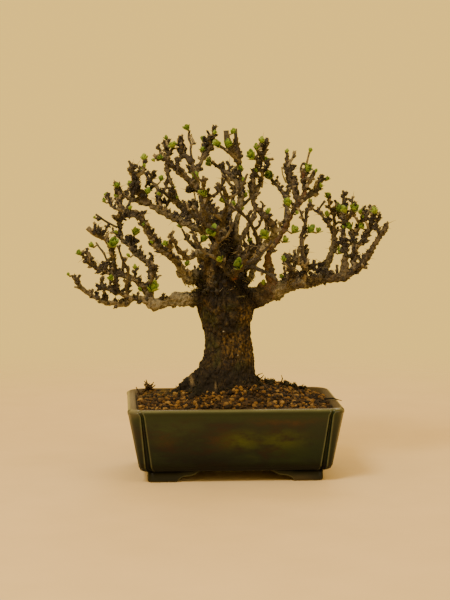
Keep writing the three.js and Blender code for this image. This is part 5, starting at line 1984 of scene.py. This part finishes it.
def make_soil_finish():
    soil = Finish("packed clay", Roughness=0.95, Specular_IOR_Level=0.2)
    clumps = soil.cells(3.6, output="Color")
    fine = soil.noise(1.4, 4.0, 0.65)
    color = soil.mixed(PACKED_CLAY, clumps, 0.12, "MULTIPLY")
    color = soil.mixed(color, CLAY_SHADOW, fine.step(0.45, 0.65) * 0.7)
    soil.set(Base_Color=color)
    soil.bumps(fine, 0.8)
    return soil


def make_grit_finish():
    grit = Finish("grit", Roughness=0.9)
    clumps = grit.cells(4.5, output="Color")
    grit.set(Base_Color=grit.mixed(GRIT_STONE, clumps, 0.35, "MULTIPLY"))
    grit.bumps(grit.cells(4.5), 1.2)
    return grit


def make_net_finish():
    net = Finish("net", Roughness=0.5)
    fine = net.noise(1.5, 3.0)
    net.set(Base_Color=net.ramp(fine, NET_SHADES))
    net.bumps(fine, 0.1)
    return net


def make_wire_finish():
    wire = Finish("wire", Metallic=1.0)
    fine = wire.noise(2.0, 3.0)
    wire.set(Base_Color=wire.ramp(fine, WIRE_SHADES), Roughness=0.3 + fine * 0.3)
    return wire


def dress(node, finish):
    """The finish goes into the material slot of a solid."""
    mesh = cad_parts[node].data
    mesh.materials.clear()
    mesh.materials.append(finish.material)


dress("soil", make_soil_finish())
dress("drainage_grit", make_grit_finish())
net_finish = make_net_finish()
wire_finish = make_wire_finish()
for side in ("left", "right"):
    dress("drain_screen_" + side, net_finish)
    dress("screen_clip_" + side, wire_finish)

# Moss, dry litter and the weed at the back left corner

MOSS_SHADES = [
    (0.0, (0.012, 0.01, 0.006)),
    (0.55, (0.03, 0.027, 0.01)),
    (0.85, (0.065, 0.07, 0.018)),
    (1.0, (0.14, 0.15, 0.03)),
]
DRY_MOSS = (0.02, 0.012, 0.008)
MOSS_STEP = 7
LITTER_LUMPS = 170

# Where moss grows on the bark: height and reach at the fork and at the trunk's foot, and the collar's place
FORK_MOSS = (147, 17)
FOOT_MOSS = (66, 13)
FORK_MIDDLE = -6
FORK_HALF_WIDTH = 26
MOSS_COLLAR = np.array([-25.0, -4.0, 148.0])
COLLAR_REACH = 11

# Litter in a ring round the trunk, from and to, and in a strip behind it on the right, along x and along y
LITTER_RING = (27, 43)
LITTER_STRIP = ((16, 66), (2, 36))

# Heaps of dark litter behind the trunk on the right: middle along x and y, and reach
LITTER_HEAPS = ((20.0, -8.0, 3.0), (30.0, 8.0, 4.5), (45.0, 14.0, 4.5), (52.0, 14.0, 4.0), (59.0, 16.0, 4.0))

# Thin dead twigs, radius and course: one lies over the right rim, the others curl at the trunk's foot
FALLEN_TWIGS = (
    (0.7, (72.5, -9.0, 58.5), (79.0, -16.0, 60.0), (85.0, -23.0, 59.1)),
    (0.5, (17.0, -12.0, 75.0), (20.0, -13.0, 79.0), (23.5, -12.0, 80.0)),
    (0.5, (19.0, -10.0, 74.0), (23.0, -11.0, 76.5), (24.5, -11.0, 78.5)),
    (0.5, (40.0, 12.0, 68.0), (41.5, 12.0, 72.0), (40.5, 12.0, 75.0)),
)


def make_moss_finish():
    moss = Finish("moss", Roughness=0.95, Specular_IOR_Level=0.2)
    color = moss.ramp(moss.kept("tone"), MOSS_SHADES)
    moss.set(Base_Color=moss.mixed(color, DRY_MOSS, moss.noise(1.5).step(0.5, 0.7) * 0.5))
    return moss


def tuft(courses, widths, spot, normal, size, draw):
    """Three bristles that spread from a spot."""
    for _ in range(3):
        side = around(normal, draw() * ANY_TURN)
        way = unit(normal + side * 0.9 * draw())
        length = size * (0.6 + 0.8 * draw())
        courses.append([spot, spot + way * length * 0.55, spot + unit(way + side * 0.4) * length])
        widths.append([0.3, 0.26, 0.05])


def litter_spot(draw):
    """A place round the foot of the trunk, or as often on the heap behind it on the right."""
    angle = draw() * ANY_TURN
    far = mix(*LITTER_RING, draw() ** 1.5)
    kind = draw()
    if kind < 0.5:
        x, y, reach = LITTER_HEAPS[int(kind * 10) % len(LITTER_HEAPS)]
        return x + reach * math.cos(angle) * draw(), y + reach * math.sin(angle) * draw()
    if kind < 0.75:
        return tuple(mix(*ends, draw()) for ends in LITTER_STRIP)
    return -4 + math.cos(angle) * far, math.sin(angle) * far * 0.85


def near_height(spot, height, reach):
    """1 at the height, and 0 from its reach on."""
    return max(1 - abs(spot[2] - height) / reach, 0)


def grow_moss(courses, widths, draw):
    """Bristles on the bark at the fork, round the trunk's foot and in a thick collar on the left."""
    points, normals = skin_points(tree_wood.data)
    for spot, normal in zip(points[::MOSS_STEP], normals[::MOSS_STEP]):
        chance = draw()
        fork = near_height(spot, *FORK_MOSS) * (abs(spot[0] - FORK_MIDDLE) < FORK_HALF_WIDTH)
        foot = near_height(spot, *FOOT_MOSS)
        collar = max(1.4 - np.linalg.norm(spot - MOSS_COLLAR) / COLLAR_REACH, 0)
        patch = noise.noise(Vector(spot) * 0.09) + 0.5
        if chance < (fork * 0.6 + foot * 0.4) * patch + collar * 0.8:
            tuft(courses, widths, spot, normal, 1.5 + min(collar, 1) * 1.6, draw)


def add_litter(stock, courses, widths, draw):
    """Crumbs of dry moss, bark and twig ends lying on the soil, some with bristles."""
    points, faces = ball_shape(1)
    for _ in range(LITTER_LUMPS):
        x, y = litter_spot(draw)
        size = 0.7 + 1.3 * draw() ** 2
        if not inside_pot(x, y, 3):
            continue
        heaped = min(math.hypot(x - hx, y - hy) / reach for hx, hy, reach in LITTER_HEAPS) < 1
        spot = np.array([x, y, soil_height(x, y) + 0.8 + (3.2 if heaped else 0.8) * draw()])
        rough = np.array([1 + 0.5 * (draw() - 0.5) for _ in points])[:, None]
        stock.add(points * rough * [size, size, size * 0.7] + spot, [faces], tone=0.35 * draw())
        if draw() < (0.5 if heaped else 0.2):
            tuft(courses, widths, spot, UP, 2.4, draw)


def make_moss():
    """Moss, litter and fallen twigs as one piece."""
    draw = seeded(5151)
    stock = Stock()
    courses, widths = [], []
    grow_moss(courses, widths, draw)
    add_litter(stock, courses, widths, draw)
    tones = np.array([0.75 * draw() for _ in courses])
    stock.add(*tubes(courses, widths, 3), tone=np.repeat(tones, 9))
    for radius, *course in FALLEN_TWIGS:
        stock.add(*tubes([course], [[radius, radius * 0.9, radius * 0.4]], 6), tone=0.1)
    add_piece(stock.mesh("moss_and_litter"), make_moss_finish())


make_moss()

WEED_FOOT = (-66.0, 26.0)
STEM_SHADES = [(0.0, (0.02, 0.011, 0.006)), (0.5, (0.075, 0.047, 0.018))]


def make_stem_finish():
    stem = Finish("dry stems", Roughness=0.8, Specular_IOR_Level=0.2)
    stem.set(Base_Color=stem.ramp(stem.kept("tone"), STEM_SHADES))
    return stem


def make_weed():
    """A dry sprig: short bare stems spread like a star round a low stalk, and a small one on its left."""
    draw = seeded(915)
    foot = np.array([*WEED_FOOT, soil_height(*WEED_FOOT)])
    courses = [[foot - [0, 0, 5], foot - [0, 0, 1], foot + [0, 0, 5]]]
    widths = [[1.1, 0.9, 0.5]]
    left = np.array([WEED_FOOT[0] - 6.0, WEED_FOOT[1] - 7.0, soil_height(*WEED_FOOT) + 0.5])
    courses.append([left - [0, 0, 1.5], left + [-2.6, 0, 3.6], left + [-4.4, 0, 7.0]])
    widths.append([0.7, 0.6, 0.4])
    for middle, count, reach in ((foot + [-0.3, 0, 5.2], 40, 3.8), (left, 5, 2.4)):
        for i in range(count):
            way = unit(around(UP, i * GOLDEN_TURN) + UP * (2.2 * draw() - 0.5))
            length = reach * (0.7 + 0.9 * draw())
            start = middle + [draw() - 0.5, draw() - 0.5, 2.4 * draw() - 1.2]
            tip = start + way * length + [0, 0, 0.8]
            knee = mix(start, tip, 0.55) + np.array([draw() - 0.5, 0, draw() - 0.5]) * 2.2
            courses.append([start, knee, tip])
            widths.append([0.5, 0.48, 0.34])
            side = unit(around(way, draw() * ANY_TURN) + way * 0.6)
            courses.append([knee, knee + side * 0.9, knee + side * (1.5 + draw())])
            widths.append([0.3, 0.32, 0.14])
    stock = Stock()
    tones = np.array([draw() * 0.5 for _ in courses])
    stock.add(*tubes(courses, widths, 5), tone=np.repeat(tones, 15))
    weed = add_piece(stock.mesh("weed_stems"), make_stem_finish())
    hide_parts("weed_tuft")


make_weed()

# Floor, light and air

FLOOR_RADIUS = 950.0
FLOOR_SIDES = 96
FLOOR_FADE = (300, 850)
FLOOR_SHADES = [(0.3, (0.62, 0.47, 0.25)), (0.7, (0.66, 0.5, 0.27))]
WARM = (1.0, 0.9, 0.74)
AIR_COLOR = (1.17, 0.74, 0.157, 1.0)
AIR_STRENGTH = 1.15


def make_floor():
    """A round sheet that fades out into the air."""
    floor = Finish("floor", Roughness=0.8, Specular_IOR_Level=0.2)
    fine = floor.noise(60.0, 3.0)
    floor.set(Base_Color=floor.ramp(fine, FLOOR_SHADES))
    clear = floor.node("ShaderNodeBsdfTransparent")
    far = floor.vectors("LENGTH", floor.stretched(1.0, 1.0, 0.0), output="Value")
    sheet = Value(floor, floor.shader.outputs["BSDF"])
    blend = floor.node("ShaderNodeMixShader", None, [far.step(*FLOOR_FADE), sheet, clear])
    floor.feed(floor.tree.nodes["Material Output"].inputs["Surface"], blend)
    turns = np.arange(FLOOR_SIDES) * 2 * math.pi / FLOOR_SIDES
    rim = np.stack([np.cos(turns), np.sin(turns), np.zeros(FLOOR_SIDES)], axis=1) * FLOOR_RADIUS
    stock = Stock()
    stock.add(rim, [np.arange(FLOOR_SIDES)[None]])
    mesh = stock.mesh("floor")
    mesh.materials.append(floor.material)
    disc = bpy.data.objects.new("floor", mesh)
    bpy.context.collection.objects.link(disc)
    disc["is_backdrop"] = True


make_floor()


def add_light(name, place, height, size, power):
    """A warm round light that is aimed at the middle of the bonsai at a height in metres."""
    data = bpy.data.lights.new(name, "AREA")
    data.shape = "DISK"
    data.size = size
    data.energy = power
    data.color = WARM
    light = bpy.data.objects.new(name, data)
    light.location = place
    light.rotation_euler = (Vector(place) - Vector((0, 0, height))).to_track_quat("Z", "Y").to_euler()
    bpy.context.collection.objects.link(light)


add_light("key", (-0.55, -0.8, 1.2), 0.12, 0.5, 19.0)
add_light("fill", (1.0, -0.8, 0.5), 0.12, 0.9, 4.0)
add_light("back", (0.2, 1.0, 1.0), 0.15, 0.8, 7.0)

air = bpy.data.worlds.new("air")
air.use_nodes = True
glow = air.node_tree.nodes["Background"]
glow.inputs["Color"].default_value = AIR_COLOR
glow.inputs["Strength"].default_value = AIR_STRENGTH
bpy.context.scene.world = air

# Sizes after dressing

low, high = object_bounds()
